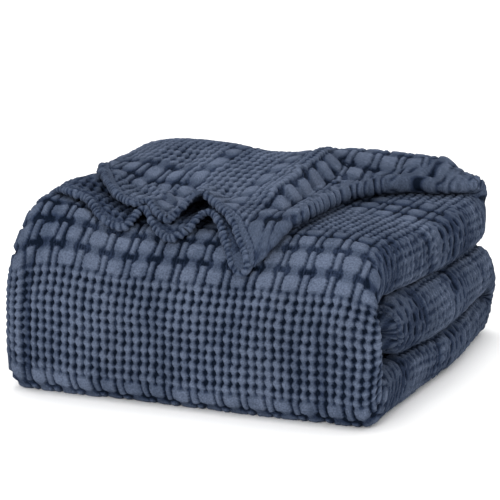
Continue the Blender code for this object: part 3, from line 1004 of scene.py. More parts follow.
    # At the left the rows dip: how far, over what distance across, from where along.
    left_dip: Values = (15.0, 32.0, 780.0, 90.0)
    wander_strip: Rows = ((34.0, 1.2, 1.0, 11.0, 0.6, 2.0), (37.0, 1.2, 3.0, 12.0, 0.6, 4.0))
    wander_flap: Rows = ((31.0, 1.44, 5.0, 11.0, 0.78, 6.0), (35.0, 1.44, 7.0, 12.0, 0.78, 8.0))
    flap_chains: Rows = (
        # (way, then x of the five chains that run forward over the flap), millimetres
        (-160, -46, 24, 54, 82, 112), (-60, -47, 23, 57, 85, 113), (-20, -50, 21, 60, 87, 114),
        (7, -58, 18, 61, 88, 115), (40, -62, 14, 61, 88, 115), (80, -58, 15, 60, 87, 115),
        (160, -54, 20, 58, 86, 113), (220, -54, 24, 57, 86, 112),
    )
    # The fine columns counted to each of these chains, and the size of a column, of a row of
    # puffs (start and pitch) and of a fine row.
    flap_counts: Values = (0.0, 8.0, 13.0, 16.0, 19.0)
    flap_pitch: float = 9.4
    flap_row: Pair = (18.0, 37.0)
    flap_fine_rows: float = 11.4
    flap_ease: float = 0.85
    # Where the flap has puffs: a band (its first and last way, its right edge) and all that
    # lies right of flap_right.  Their edges are soft.
    flap_band: Triple = (-8.0, 62.0, -74.0)
    flap_right: float = 50.0
    flap_soft: Pair = (8.0, 6.0)
    flap_shift: float = 12.0
    # A lone chain lies in a trough: half width, softness, floor beside a puff and extra depth
    # beside a neck.
    trough: Values = (11.5, 3.0, -0.75, 1.1)
    # The bars reach in from the fold, less near the tip, which is calm.
    bar_reach: Pair = (26.0, 10.0)
    tip_reach: Triple = (0.65, 100.0, 30.0)
    tip_calm: Pair = (156.0, 14.0)
    tip_flatness: Pair = (0.8, 0.7)
    # The fold line starts this far along before its table.
    before_fold: float = 105.0
    # The hem's band: where it ends, its rows of knobs (length, width, height), the ground
    # under them, its grain (size, height), and the groove behind it (depth, place, width).
    hem_end: Pair = (12.5, 2.0)
    hem_knob: Triple = (5.6, 4.6, 0.8)
    hem_ground: float = 0.1
    hem_grain: Pair = (2.6, 0.45)
    hem_groove: Triple = (-2.2, 11.8, 1.4)

    def ribs(self, column: Grid, row: Grid) -> Grid:
        """The fine panel: upright cords with a bead in each row and a hole beside each neck.

        Across, a cord is a half ellipse about the middle of its column.  Along, its half
        width and its top swell by a raised cosine from the neck, at the middle of each row,
        to the bead, where neighbours touch.  Each cord leans to and fro once a row.

        Args:
            column: place across, in cords.
            row: place along, in beads.

        Returns:
            The height at each point.
        """
        place, row_place, width, rise, hole = self.rib_uneven
        loose = scatter(np.floor(column), np.floor(row + 0.5), Draw.CORD)
        loose_hole = scatter(np.floor(column + 0.5), np.floor(row), Draw.HOLE)
        aside = column - np.floor(column) - 0.5
        aside = aside + self.rib_lean * np.sin(TURN * row) + place * loose
        bead = 0.5 + 0.5 * swing(row + row_place * loose_hole)
        half = between(self.rib_half, bead**0.8) * (1.0 + width * loose)
        cord = np.sqrt(np.clip(1.0 - (aside / half) ** 2, 0.0, 1.0))
        top = between(self.rib_top, bead) + rise * loose
        floor = between(self.rib_floor, bead**1.3) - hole * loose_hole * (1 - bead)
        return floor + (top - floor) * cord**self.side_power

    def chain(self, aside: Grid, row: Grid, cell: Grid) -> Grids:
        """One chain of puffs: flat-topped ovals, drawn in to a neck between one and the next.

        The half width and the top ease from the puff's to the neck's; the top domes by a
        parabola and carries fine pleats and a dent.

        Args:
            aside: distance from the chain's line, in millimetres.
            row: position along it, a puff at the middle of each unit.
            cell: the chain's number, for its unevenness.

        Returns:
            How much of the chain covers a point, from 0 to 1, and the chain's height.
        """
        place = np.floor(row)
        away = np.abs(row - place - 0.5) * 2.0
        loose = scatter(cell, place, Draw.PUFF_WIDTH)
        swell = 1.0 - ramp(away, *self.puff_length)
        neck, full = self.chain_half
        wider, taller = self.puff_uneven
        half = neck + (full * (1 + wider * loose) - neck) * swell
        share, turns, each = self.puff_edge
        half = half * (1.0 + share * np.sin(turns * row + each * cell + np.sign(aside)))
        past, soft = self.chain_edge
        cover = ease((half + past - np.abs(aside)) / soft)
        top = between(self.chain_top, swell) * (1 + taller * scatter(cell, place, Draw.PUFF_TOP))
        pitch, height = self.pleat
        pleats = height * swing(aside / pitch) * away
        dome = self.dome[0] * (aside / full) ** 2 + self.dome[1] * away**2 * swell
        width, depth = self.dent
        dent = depth * bump(aside - 2.0 * loose, width) * scatter(cell, place, Draw.PUFF_DENT)
        return cover, top - dome + pleats - dent

    def puffs(self, chains: Grid, row: Grid) -> Grid:
        """A band of chains side by side, with short twisted ribs and slits between them.

        Args:
            chains: place across, a chain at each whole number.
            row: place along, a puff at the middle of each unit.

        Returns:
            The height: the ground with its threads and slits, the ribs over it and the chains
            over both.
        """
        number = np.round(chains)
        aside = (chains - number) * self.chain_mm
        aside = aside + self.chain_shift * scatter(number, np.floor(row), Draw.CHAIN_SHIFT)
        cover, top = self.chain(aside, row, number)
        signed = (row - np.floor(row) - 0.5) * self.row_mm
        along = np.abs(signed)
        loose = scatter(np.floor(chains), np.round(row), Draw.SLIT)
        gap = self.slit_half * (1.0 + self.slit_soft[0] * loose)
        slit = ease((gap - (self.row_mm / 2 - along)) / self.slit_soft[1])
        pitch, height, size, lump = self.ground_thread
        floor = -self.ground - self.slit_depth * slit + height * swing(aside / pitch)
        floor = floor + lump * grain(aside, row, size, Draw.GROUND)
        width, length, height = self.short_rib
        off = self.chain_mm / 2 - np.abs(aside)
        cord = np.sqrt(np.clip(1.0 - (off / width) ** 2, 0.0, 1.0))
        past, soft = self.rib_end
        rib = cord**self.side_power * ease((length + past - along) / soft)
        pitch, depth = self.twist
        strands = depth * np.sin(TURN * (signed / pitch + off / (2 * width)))
        floor = floor + rib * (height + strands - floor)
        return floor + cover * (top - floor)

    def bars(self, row: Grid, pitch: float, aside: Grid, size: float = 1.0) -> Grid:
        """Puffs drawn out round a fold into bars, with a narrow slit at each whole row.

        A slit is a bump downwards that wavers along the fold and comes and goes twice a chain.
        Each bar is a low parabola across, waisted where the slit fades.

        Args:
            row: position along the strip in bars.
            pitch: one bar's length, in millimetres.
            aside: position round the fold in chains.
            size: scale of the slits; the fine panels draw out into smaller ones.

        Returns:
            The height at each point.
        """
        height, depth, half = self.bar[0], self.bar[1] * size, self.bar[2] * size
        number = np.round(row)
        sway, turns, each = self.bar_waver
        waver = sway * size * np.sin(TURN * aside * turns + number * each)
        jitter = self.bar_shift * size * scatter(number, np.round(aside), Draw.BAR_SHIFT)
        off = (row - number) * pitch + waver + jitter
        beats, each, uneven, pace = self.bar_beat
        beat = beats * aside + each * number + uneven * np.sin(pace * number)
        slot = 0.5 + 0.5 * swing(beat)
        least, more, steepness = self.slit_strength
        strength = least + more * ease(steepness * slot)
        loose = scatter(number, np.round(beat), Draw.BAR_STRENGTH)
        strength = strength * (self.slit_uneven[0] + self.slit_uneven[1] * loose)
        slit = bump(off, half * (self.slit_width[0] + self.slit_width[1] * slot))
        crown = height + self.bar_uneven * scatter(np.floor(row), np.round(beat), Draw.BAR_TOP)
        waist, dome = self.bar_waist
        waist = waist * (1.0 - slot) * size + dome * size * (off / pitch * 2) ** 2
        thread, ply = self.bar_thread
        return crown - waist + ply * swing(off / thread) - depth * strength * slit

    def lumpy(self, across: Grid, along: Grid) -> Grid:
        """Unevenness of the cloth: lumps of yarn, of cells and of whole handfuls, summed.

        Args:
            across: place across, in millimetres.
            along: place along, in millimetres.

        Returns:
            The height at each point.
        """
        total = np.zeros_like(across)
        for number, (size, height) in enumerate(self.lumps):
            total = total + height * grain(across, along, size, Draw.LUMPS + number)
        return total

    def strip(self, across: Grid, path: Grid, folded: Grid) -> Grid:
        """Relief on the strip: fine panels and bands of puffs in turn along the path.

        The chains widen evenly from the first, so their number is the root of a quadratic in
        the distance across.  Rows are counted along the path through the table of bands.

        Args:
            across: distance from the outer layer's left edge, in millimetres.
            path: distance along the strip from the middle run's front end, in millimetres.
            folded: 1 round a side fold, where puffs draw out into bars, and 0 elsewhere.

        Returns:
            The height at each point.
        """
        uneven = self.lumpy(across, path)
        across, path = wander(across, path, self.wander_strip)
        dip, reach, start, length = self.left_dip
        path = path + dip * np.exp(-np.maximum(across, 0.0) / reach) * ramp(path, start, length)
        inside = self.chain_pitch**2 + 4 * self.chain_widening * (across - self.first_chain)
        root = np.sqrt(np.maximum(inside, 1.0))
        chains = (root - self.chain_pitch) / (2 * self.chain_widening)
        bands = np.array(self.bands, float)
        starts = bands[:, 0]
        fine_rows = np.concatenate([[0.0], np.cumsum(bands[:-1, 1])])
        puff_rows = np.concatenate([[0.0], np.cumsum(bands[:-1, 2])])
        fine_row = np.interp(path, starts, fine_rows)
        fine = self.ribs(self.fine_to_chain * chains, fine_row)
        threads, size = self.thread
        pitch = self.row_mm / self.fine_to_row / threads
        drawn = self.bars(threads * fine_row, pitch, 2.0 * chains, size)
        kept, added = self.drawn_mix
        fine = between((fine, kept * fine + added * drawn), folded)
        row = np.interp(path, starts, puff_rows)
        puffed = self.puffs(chains, row)
        puffed = between((puffed, self.bars(2.0 * row, self.row_mm / 2.0, chains)), folded)
        inset = np.where(bands[1:, 3] > bands[:-1, 3], self.band_inset, -self.band_inset)
        edges = np.repeat(starts[1:] + inset, 2)
        edges = edges + np.tile([-1, 1], len(starts) - 1) * self.edge_softness
        kinds = np.repeat(bands[:, 3], 2)[1:-1]
        share = np.interp(path, edges, kinds)
        return between((fine, puffed), share) + uneven

    def by_fold(self, x: Grid, way: Grid, fold_line: Rows) -> Grids:
        """Place of a flap point by its fold line: its distance in x, turned by the line's slope.

        Args:
            x: place across, in millimetres.
            way: place forward, in millimetres.
            fold_line: the fold line's table.

        Returns:
            Distance from the fold line and distance along it, in millimetres.
        """
        line = np.array(fold_line, float)
        table = tuple(zip(line[:, 1], line[:, 0]))
        lengths = np.concatenate([[-self.before_fold], run_length(line)])
        places = np.concatenate([[line[0, 1] - self.before_fold], line[:, 1]])
        gap = curve(way, table) - x
        slope = (curve(way + 1.0, table) - curve(way - 1.0, table)) / 2.0
        norm = np.sqrt(1.0 + slope**2)
        return gap / norm, np.interp(way, places, lengths) - gap * slope / norm

    def flap_column(self, x: Grid, lines: list[Grid]) -> Grid:
        """Count the fine columns across the flap, straight from each chain's line to the next.

        Args:
            x: place across, in millimetres.
            lines: x of each chain's line.

        Returns:
            The column at each point.
        """
        counts = self.flap_counts
        column = counts[0] + (x - lines[0]) / self.flap_pitch
        for k in range(1, len(lines)):
            share = (x - lines[k - 1]) / (lines[k] - lines[k - 1])
            inside = counts[k - 1] + (counts[k] - counts[k - 1]) * share
            column = np.where(x > lines[k - 1], inside, column)
        past = counts[-1] + (x - lines[-1]) / self.flap_pitch
        return np.where(x > lines[-1], past, column)

    def lone_chain(self, height: Grid, aside: Grid, row: Grid, cell: float) -> Grid:
        """Lay one chain in a trough over the flap's fine panel.

        Args:
            height: the relief without it.
            aside: distance from the chain's line, in millimetres.
            row: position along it, a puff at the middle of each unit.
            cell: the chain's number.

        Returns:
            The relief with it.
        """
        half, soft, floor, deeper = self.trough
        cover, top = self.chain(aside, row, np.full_like(aside, cell))
        neck = 0.5 - 0.5 * swing(row - np.floor(row) - 0.5)
        floor = floor - deeper * neck**2
        chain = floor + cover * (top - floor)
        return between((height, chain), ease((half - np.abs(aside)) / soft))

    def over_flap(self, x: Grid, way: Grid, fold_line: Rows) -> Grid:
        """Relief on the flap, from its plan: fine with lone chains, puffs, and bars at the fold.

        Args:
            x: place across, in millimetres.
            way: place forward, in millimetres.
            fold_line: the table of the line where the flap's sheets fold into each other.

        Returns:
            The height at each point.
        """
        from_fold, by_fold = self.by_fold(x, way, fold_line)
        uneven = self.lumpy(x, way)
        x, way = wander(x, way, self.wander_flap)
        lines = [curve(way, self.flap_chains, k + 1) for k in range(len(self.flap_counts))]
        column = self.flap_column(x, lines)
        start, pitch = self.flap_row
        row = (way - start) / pitch + 0.5
        height = self.ribs(column, way / self.flap_fine_rows) * self.flap_ease
        band_start, band_end, band_right = self.flap_band
        soft, right_soft = self.flap_soft
        band = ease((way - band_start) / soft + 0.5) * ease((band_end - way) / soft + 0.5)
        band = band * ease((band_right - x) / soft + 0.5)
        right = ease((x - self.flap_right) / right_soft + 0.5)
        shift = np.where(x > self.flap_right - self.flap_shift, 1.0, 0.0)
        puffed = self.puffs((column - shift) / self.fine_to_chain, row)
        height = between((height, puffed), np.maximum(band, right))
        for cell, line in enumerate(lines[:2]):
            height = self.lone_chain(height, x - line, row, float(cell))
        reach, soft = self.bar_reach
        less, start, length = self.tip_reach
        reach = reach * (1.0 - less * ramp(way, start, length))
        calm = ramp(way, *self.tip_calm)
        rolled = ease((reach - from_fold) / soft) * (1.0 - self.tip_flatness[0] * calm)
        height = height * (1.0 - self.tip_flatness[1] * calm * right)
        slanted = by_fold + self.bar_slant * from_fold
        bar = slanted / self.bar_mm
        for bend, length, shift in self.bar_bends:
            bar = bar + bend * np.sin(slanted / length + shift)
        bars = self.bars(bar, self.bar_mm, from_fold / self.chain_mm, self.flap_bar_size)
        return between((height, bars), rolled) + uneven

    def hem(self, height: Grid, inward: Grid, along: Grid) -> Grid:
        """Turn the last stretch before a hem into its band of small stitches.

        Args:
            height: the relief without the hem.
            inward: distance in from the hem, in millimetres.
            along: distance along the hem, in millimetres.

        Returns:
            The relief with the band: rows of small knobs and a groove behind them.
        """
        length, width, rise = self.hem_knob
        knobs = rise * np.cos(TURN * along / length + math.pi * np.floor(inward / width))
        band = self.hem_ground + knobs * np.abs(np.sin(math.pi * inward / width))
        size, lump = self.hem_grain
        band = band + lump * grain(along, inward, size, Draw.HEM_BAND)
        depth, place, width = self.hem_groove
        end, soft = self.hem_end
        share = ease((end - inward) / soft)
        return between((height, band + depth * bump(inward - place, width)), share)


def linear(code: str) -> tuple[float, float, float, float]:
    """Turn a colour's sRGB curve to linear light.

    Args:
        code: the colour in sRGB as a hex value.

    Returns:
        Linear red, green, blue and alpha.
    """
    parts = np.array([int(code[k : k + 2], 16) for k in (1, 3, 5)]) / 255.0
    low = parts / 12.92
    high = ((parts + 0.055) / 1.055) ** 2.4
    red, green, blue = np.where(parts <= 0.04045, low, high).tolist()
    return red, green, blue, 1.0


def add_node(tree: bpy.types.NodeTree, kind: str, settings: dict, links: dict) -> bpy.types.Node:
    """Add a node.

    Args:
        tree: the node tree it joins.
        kind: its type name.
        settings: its own values by attribute name, and socket values by socket name.
        links: for each of its input sockets, the node and output it is fed from.

    Returns:
        The node.
    """
    node = tree.nodes.new(kind)
    for name, value in settings.items():
        if name in node.inputs:
            node.inputs[name].default_value = value
        else:
            setattr(node, name, value)
    for name, (source, output) in links.items():
        tree.links.new(source.outputs[output], node.inputs[name])
    return node


@dataclass(frozen=True)
class WovenCotton:
    """Yarn-dyed cotton, woven: matt, with painted shade deep in the holes.

    The crests catch the light like any dry cotton, with hardly a gloss.  The colour falls from
    the dye's own on the crests to nearly black in the holes: painted shade, on top of the real
    shade that the holes' depth gives.  The yarn's own thickness is about 0.8 mm; it is drawn at
    1.7 mm, the smallest that shows in the picture.
    """

    # The crest is the dye's own colour; the middle, ground and pit colours darken it towards the
    # holes as painted shade.
    crest: str = "#50596b"
    middle: str = "#3d4657"
    ground: str = "#232c3e"
    pit: str = "#0c1421"
    # Where on the relief, from a hole to a crest, each colour sits; below the crest they are
    # painted shade.
    pit_at: float = 0.02
    ground_at: float = 0.25
    middle_at: float = 0.62
    roughness: float = 0.92
    specular: float = 0.04
    ior: float = 1.45
    # The yarn (size, relief) and its flecks; the fading over whole handfuls of cloth.  A
    # noise's middle range is spread over the darkest and the lightest.
    yarn_mm: float = 1.7
    yarn_relief_mm: float = 0.9
    fleck_from: Pair = (0.35, 0.65)
    fleck: Pair = (0.77, 1.23)
    fade_mm: float = 60.0
    fade_from: Pair = (0.3, 0.7)
    fade: Pair = (0.88, 1.12)

    def material(self) -> bpy.types.Material:
        """Build the material: colour by relief with painted shade, a little fading, and the yarn
        as a bump.

        The attribute "relief" runs from 0 in a hole to 1 on a crest; it carries the painted shade
        of the holes, of crease troughs, of the flanks between bars and of the flap's inner face.

        Returns:
            The material.
        """
        material = bpy.data.materials.new("woven cotton, slate blue")
        material.use_nodes = True
        tree = material.node_tree
        shader = tree.nodes["Principled BSDF"]
        cloth = add_node(tree, "ShaderNodeUVMap", {"uv_map": "cloth"}, {})
        place = add_node(tree, "ShaderNodeTexCoord", {}, {})
        relief = add_node(tree, "ShaderNodeAttribute", {"attribute_name": "relief"}, {})
        # Painted shade: the relief picks a colour that darkens towards the holes.
        painted_shade_ramp = add_node(tree, "ShaderNodeValToRGB", {}, {"Fac": (relief, "Fac")})
        colours = painted_shade_ramp.color_ramp
        colours.interpolation = "EASE"
        colours.elements[0].color = linear(self.pit)
        colours.elements[0].position = self.pit_at
        colours.elements[1].color = linear(self.crest)
        colours.elements[1].position = 1.0
        for position, colour in ((self.ground_at, self.ground), (self.middle_at, self.middle)):
            colours.elements.new(position).color = linear(colour)
        fade = add_node(
            tree,
            "ShaderNodeTexNoise",
            {"Scale": 1.0 / (self.fade_mm * MM), "Detail": 3.0, "Roughness": 0.6},
            {"Vector": (place, "Object")},
        )
        yarn = add_node(
            tree,
            "ShaderNodeTexNoise",
            {"Scale": 1.0 / (self.yarn_mm * MM), "Detail": 2.0, "Roughness": 0.55},
            {"Vector": (cloth, "UV")},
        )
        value = add_node(tree, "ShaderNodeMath", {"operation": "MULTIPLY"}, {})
        ranges = ((fade, self.fade_from, self.fade), (yarn, self.fleck_from, self.fleck))
        for number, (noise, (low, high), (dark, light)) in enumerate(ranges):
            spread = add_node(
                tree,
                "ShaderNodeMapRange",
                {"From Min": low, "From Max": high, "To Min": dark, "To Max": light},
                {"Value": (noise, "Fac")},
            )
            tree.links.new(spread.outputs["Result"], value.inputs[number])
        tint = add_node(
            tree,
            "ShaderNodeHueSaturation",
            {},
            {"Color": (painted_shade_ramp, "Color"), "Value": (value, "Value")},
        )
        bump_node = add_node(
            tree,
            "ShaderNodeBump",
            {"Strength": 1.0, "Distance": self.yarn_relief_mm * MM},
            {"Height": (yarn, "Fac")},
        )
        tree.links.new(tint.outputs["Color"], shader.inputs["Base Color"])
        tree.links.new(bump_node.outputs["Normal"], shader.inputs["Normal"])
        shader.inputs["Roughness"].default_value = self.roughness
        shader.inputs["IOR"].default_value = self.ior
        shader.inputs["Specular IOR Level"].default_value = self.specular
        return material


@dataclass(frozen=True)
class PaintedBoard:
    """White painted board under the blanket: plain, matt, and pale enough to vanish."""

    colour: str = "#f6f6f6"
    roughness: float = 0.9

    def material(self) -> bpy.types.Material:
        """Build the material: one colour all over.

        Returns:
            The material.
        """
        board = bpy.data.materials.new("painted board, white")
        board.use_nodes = True
        shader = board.node_tree.nodes["Principled BSDF"]
        shader.inputs["Base Color"].default_value = linear(self.colour)
        shader.inputs["Roughness"].default_value = self.roughness
        return board


class Face(Enum):
    """The two faces of the cloth: which way a skin stands off the middle surface."""

    OUTER = 1.0
    INNER = -1.0


class Detail(Enum):
    """How much of the weave a skin carries."""

    WAFFLE = "waffle"
    PLAIN = "plain"


@dataclass(frozen=True)
class Patch:
    """A stretch of the cloth's skin: its name, its section and path, and its mesh spacing."""

    name: str
    section: Pair
    path: Pair
    step_mm: float
    detail: Detail = Detail.WAFFLE
    face: Face = Face.OUTER
    hemmed: bool = False


@dataclass(frozen=True)
class Surface:
    """A grid of points ready to be a mesh.

    The points are rows by columns by x, y, z, with the shading normal at each.  The cloth
    gives each point's place on the cloth in metres, for the UV map, and the relief is the
    shade the material colours by, painted shade included, from 0 in a hole to 1 on a crest.
    """

    points: Grid
    normals: Grid
    cloth: Grid
    relief: Grid

    def faces(self, flipped: bool) -> Grid:
        """Corner numbers of the grid's squares, one row of four for each.

        Args:
            flipped: whether the corners go round the other way, to face the other side.

        Returns:
            The corner numbers.
        """
        rows, columns = self.points.shape[:2]
        first = (np.arange(rows - 1)[:, None] * columns + np.arange(columns - 1)[None, :]).ravel()
        faces = np.stack([first, first + columns, first + columns + 1, first + 1], -1)
        return faces[:, ::-1] if flipped else faces

    def piece(self, name: str, cotton: bpy.types.Material, flipped: bool) -> bpy.types.Object:
        """Make the mesh, dress it in cotton and tell the frame what it stands for.

        Args:
            name: the piece's name.
            cotton: its material.
            flipped: whether the faces are turned round, so that they look outwards.

        Returns:
            The piece, with the UV map "cloth" and the attribute "relief".
        """
        faces = self.faces(flipped)
        mesh = bpy.data.meshes.new(name)
        flat = self.points.reshape(-1, 3)
        mesh.vertices.add(len(flat))
        mesh.vertices.foreach_set("co", flat.ravel())
        mesh.loops.add(faces.size)
        mesh.loops.foreach_set("vertex_index", faces.ravel())
        mesh.polygons.add(len(faces))
        mesh.polygons.foreach_set("loop_start", np.arange(0, faces.size, faces.shape[1]))
        mesh.update(calc_edges=True)
        mesh.polygons.foreach_set("use_smooth", np.ones(len(faces), bool))
        layer = mesh.uv_layers.new(name="cloth")
        layer.data.foreach_set("uv", self.cloth.reshape(-1, 2)[faces.ravel()].ravel())
        attribute = mesh.attributes.new("relief", "FLOAT", "POINT")
        attribute.data.foreach_set("value", self.relief.ravel())
        mesh.normals_split_custom_set_from_vertices(self.normals.reshape(-1, 3))
        mesh.validate()
        mesh.materials.append(cotton)
        piece = bpy.data.objects.new(name, mesh)
        bpy.context.scene.collection.objects.link(piece)
        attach(piece, "root")
        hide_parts("blanket")
        LOG.info("%s: %d triangles", name, 2 * len(faces))
        return piece


def surface_normals(points: Grid) -> Grid:
    """Unit normals of a grid: the path direction crossed with the section direction.

    Args:
        points: rows by columns by x, y, z.

    Returns:
        The normals, in the same layout.
    """
    along = np.gradient(points, axis=0)
    across = np.gradient(points, axis=1)
    normal = np.cross(along, across)
    return normal / np.maximum(np.linalg.norm(normal, axis=-1, keepdims=True), SMALL)


def on_cloth(shape: tuple[int, int], across: Grid, along: Grid) -> Grid:
    """Places on the cloth in metres, for a UV map, from millimetres across and along."""
    return np.stack([np.broadcast_to(across, shape), np.broadcast_to(along, shape)], -1) * MM


@dataclass(frozen=True)
class Skin:
    """Builds the cloth's skins over its folds, with the waffle in relief."""

    folds: Folds
    waffle: Waffle
    # Half the cloth's thickness, and the relief's limits, in millimetres.
    stand_off: float = 1.9
    deepest: float = -2.9
    highest: float = 1.6
    # The shade: relief that is still black, the share of a crease's trough that darkens it as
    # painted shade, the painted shade of the inner face under the flap's upper sheet, and a
    # plain skin's shade.
    dark_below: float = -2.5
    crease_painted_shade: float = 0.5
    inner_face_painted_shade: float = 0.6
    plain_shade: float = 0.5
    # Painted shade on the flanks between the bars: the shade's power rises on the right fold
    # (behind the flap, on it; the path where it changes) and on the top run (how much; the path
    # where it starts).
    fold_painted_shade: Pair = (0.2, 0.6)
    flap_painted_shade_at: Pair = (8.3, 0.3)
    top_painted_shade: float = 0.35
    top_painted_shade_at: Pair = (5.8, 0.4)
    # The right fold in section, softly, and the paths between which it isn't drawn out.
    fold_starts: Pair = (0.95, 0.3)
    fold_ends: Pair = (2.05, 0.3)
    undrawn: Pair = (3.0, 5.6)
    rear_length: float = 60.0
    samples_along: int = 1801
    samples_across: int = 701
    least_flat: float = 0.011

    def path_lengths(self, path: Grid) -> Grid:
        """Distance along the outer layer's middle column.

        Args:
            path: the positions wanted.

        Returns:
            The distance from the path's start to each, in millimetres.
        """
        dense = np.linspace(0.0, END_OF_PATH, self.samples_along)
        points = self.folds.place(np.array([MIDDLE_COLUMN]), dense)[:, 0]
        return np.interp(path, dense, run_length(points)) / MM

    def across_lengths(self, section: Grid, path: Grid) -> Grid:
        """Distance across the cloth from the outer layer's left edge.

        It grows to the right over the outer layer and on round the fold, and is negative
        round the left fold.

        Args:
            section: the columns.
            path: the rows.

        Returns:
            The distance in millimetres, rows by columns.
        """
        dense = np.linspace(0.0, END_OF_SECTION, self.samples_across)
        total = run_length(self.folds.place(dense, path), axis=1)
        left_index = round(LEFT_COLUMN / END_OF_SECTION * (self.samples_across - 1))
        left = total[:, left_index : left_index + 1]
        lengths = [np.interp(section, dense, row) for row in left - total]
        return np.array(lengths) / MM

    def folded(self, section: Grid) -> Grid:
        """How far each column lies round the right fold: 1 on it and 0 on the flat layers."""
        end, soft = self.fold_ends
        return ease((end - section) / soft) * ramp(section, *self.fold_starts)

    def relief(self, patch: Patch, section: Grid, path: Grid) -> tuple[Grid, Grid, Grid]:
        """Relief and place on the cloth for a patch's grid.

        Args:
            patch: the patch.
            section: its columns.
            path: its rows.

        Returns:
            The relief in millimetres, and distances across and along in millimetres.
        """
        across = self.across_lengths(section, path)
        along = np.broadcast_to(self.path_lengths(path)[:, None], across.shape)
        if patch.detail is Detail.PLAIN:
            return np.zeros_like(across), across, along
        away = (path < self.undrawn[0]) | (path > self.undrawn[1])
        height = self.waffle.strip(across, along, self.folded(section)[None, :] * away[:, None])
        turned = path >= Run.REAR_TURN.value
        if turned.any():
            flat = np.clip(path[turned], Run.FLAP.value, END_OF_PATH)
            x, way = self.folds.flap_plan(section, flat)
            before = np.clip(Run.FLAP.value - path[turned], 0.0, 1.0)[:, None]
            way = way / MM - self.rear_length * before
            height[turned] = self.waffle.over_flap(x / MM, way, self.folds.fold_line)
        if patch.hemmed:
            behind = run_length(self.folds.place(section, path))
            height = self.waffle.hem(height, (behind[-1] - behind) / MM, across)
        return height, across, along

    def shade(self, patch: Patch, section: Grid, path: Grid, lit: Grid) -> Grid:
        """Turn relief into the shade that the material reads, 0 in a hole to 1 on a crest.

        The share of the way from the darkest relief to the highest is raised to a power above
        1 round the right fold and on the top run, painted shade that darkens the flanks between
        the bars.  The inner face is darkened too, painted shade under the flap's upper sheet.

        Args:
            patch: the patch.
            section: its columns.
            path: its rows.
            lit: the relief in millimetres, lowered in crease troughs as painted shade.

        Returns:
            The shade at each point.
        """
        if patch.detail is Detail.PLAIN:
            return np.full_like(lit, self.plain_shade)
        lit = lit - self.dark_below
        shade = np.clip(lit / (self.highest - self.dark_below), 0.0, 1.0)
        end, soft = self.flap_painted_shade_at
        contrast = between(self.fold_painted_shade, ease((end - path) / soft))[:, None]
        drawn = self.folded(section)[None, :] * contrast
        on_top = ramp(path, *self.top_painted_shade_at) * (path < Run.REAR_TURN.value)
        # Painted shade: a higher power darkens the flanks between the bars.
        shade = shade ** (1.0 + drawn + self.top_painted_shade * on_top[:, None])
        # Painted shade: the inner face of the flap's lower sheet lies under the upper sheet.
        return shade * self.inner_face_painted_shade if patch.face is Face.INNER else shade

    def build(self, patch: Patch, cotton: bpy.types.Material) -> bpy.types.Object:
        """Build one patch: the middle surface moved along its normal by half the cloth's
        thickness and the relief, with normals taken from a grid one step larger.

        Args:
            patch: which stretch of the cloth.
            cotton: its material.

        Returns:
            The piece, declared to the frame.
        """
        step = patch.step_mm * MM
        middle_row = sum(patch.path) / 2
        middle_column = sum(patch.section) / 2
        section = self.folds.columns_between(*patch.section, middle_row, step)
        path = self.folds.rows_between(*patch.path, middle_column, step)
        section = self.extended(section, 0.0, END_OF_SECTION)
        path = self.extended(path, 0.0, END_OF_PATH)
        middle = self.folds.place(section, path)
        height, across, along = self.relief(patch, section, path)
        height = np.clip(height, self.deepest, self.highest)
        on_strip = (path < Run.FLAP.value)[:, None]
        side = patch.face.value
        crease = creased(across, along, self.waffle.creases) * on_strip * side
        off = side * (height + crease + self.stand_off) * MM
        points = middle + surface_normals(middle) * off[..., None]
        points[..., 2] = np.maximum(points[..., 2], 0.0)
        # Painted shade: a crease's trough lowers the relief that the colour is read from.
        lit = height + self.crease_painted_shade * np.minimum(crease, 0.0)
        keep = (slice(1, -1), slice(1, -1))
        surface = Surface(
            points[keep],
            (surface_normals(points) * side)[keep],
            on_cloth(across.shape, across, along)[keep],
            self.shade(patch, section, path, lit)[keep],
        )
        piece = surface.piece(patch.name, cotton, flipped=patch.face is Face.INNER)
        return piece

    @staticmethod
    def extended(places: Grid, low: float, high: float) -> Grid:
        """Add one more step at each end of the places, kept inside the cloth.

        Args:
            places: positions in rising order.
            low: the first position that the cloth has.
            high: the last.

        Returns:
            The places, two more.
        """
        first = max(low, 2 * places[0] - places[1])
        last = min(high, 2 * places[-1] - places[-2])
        return np.concatenate([[first], places, [last]])


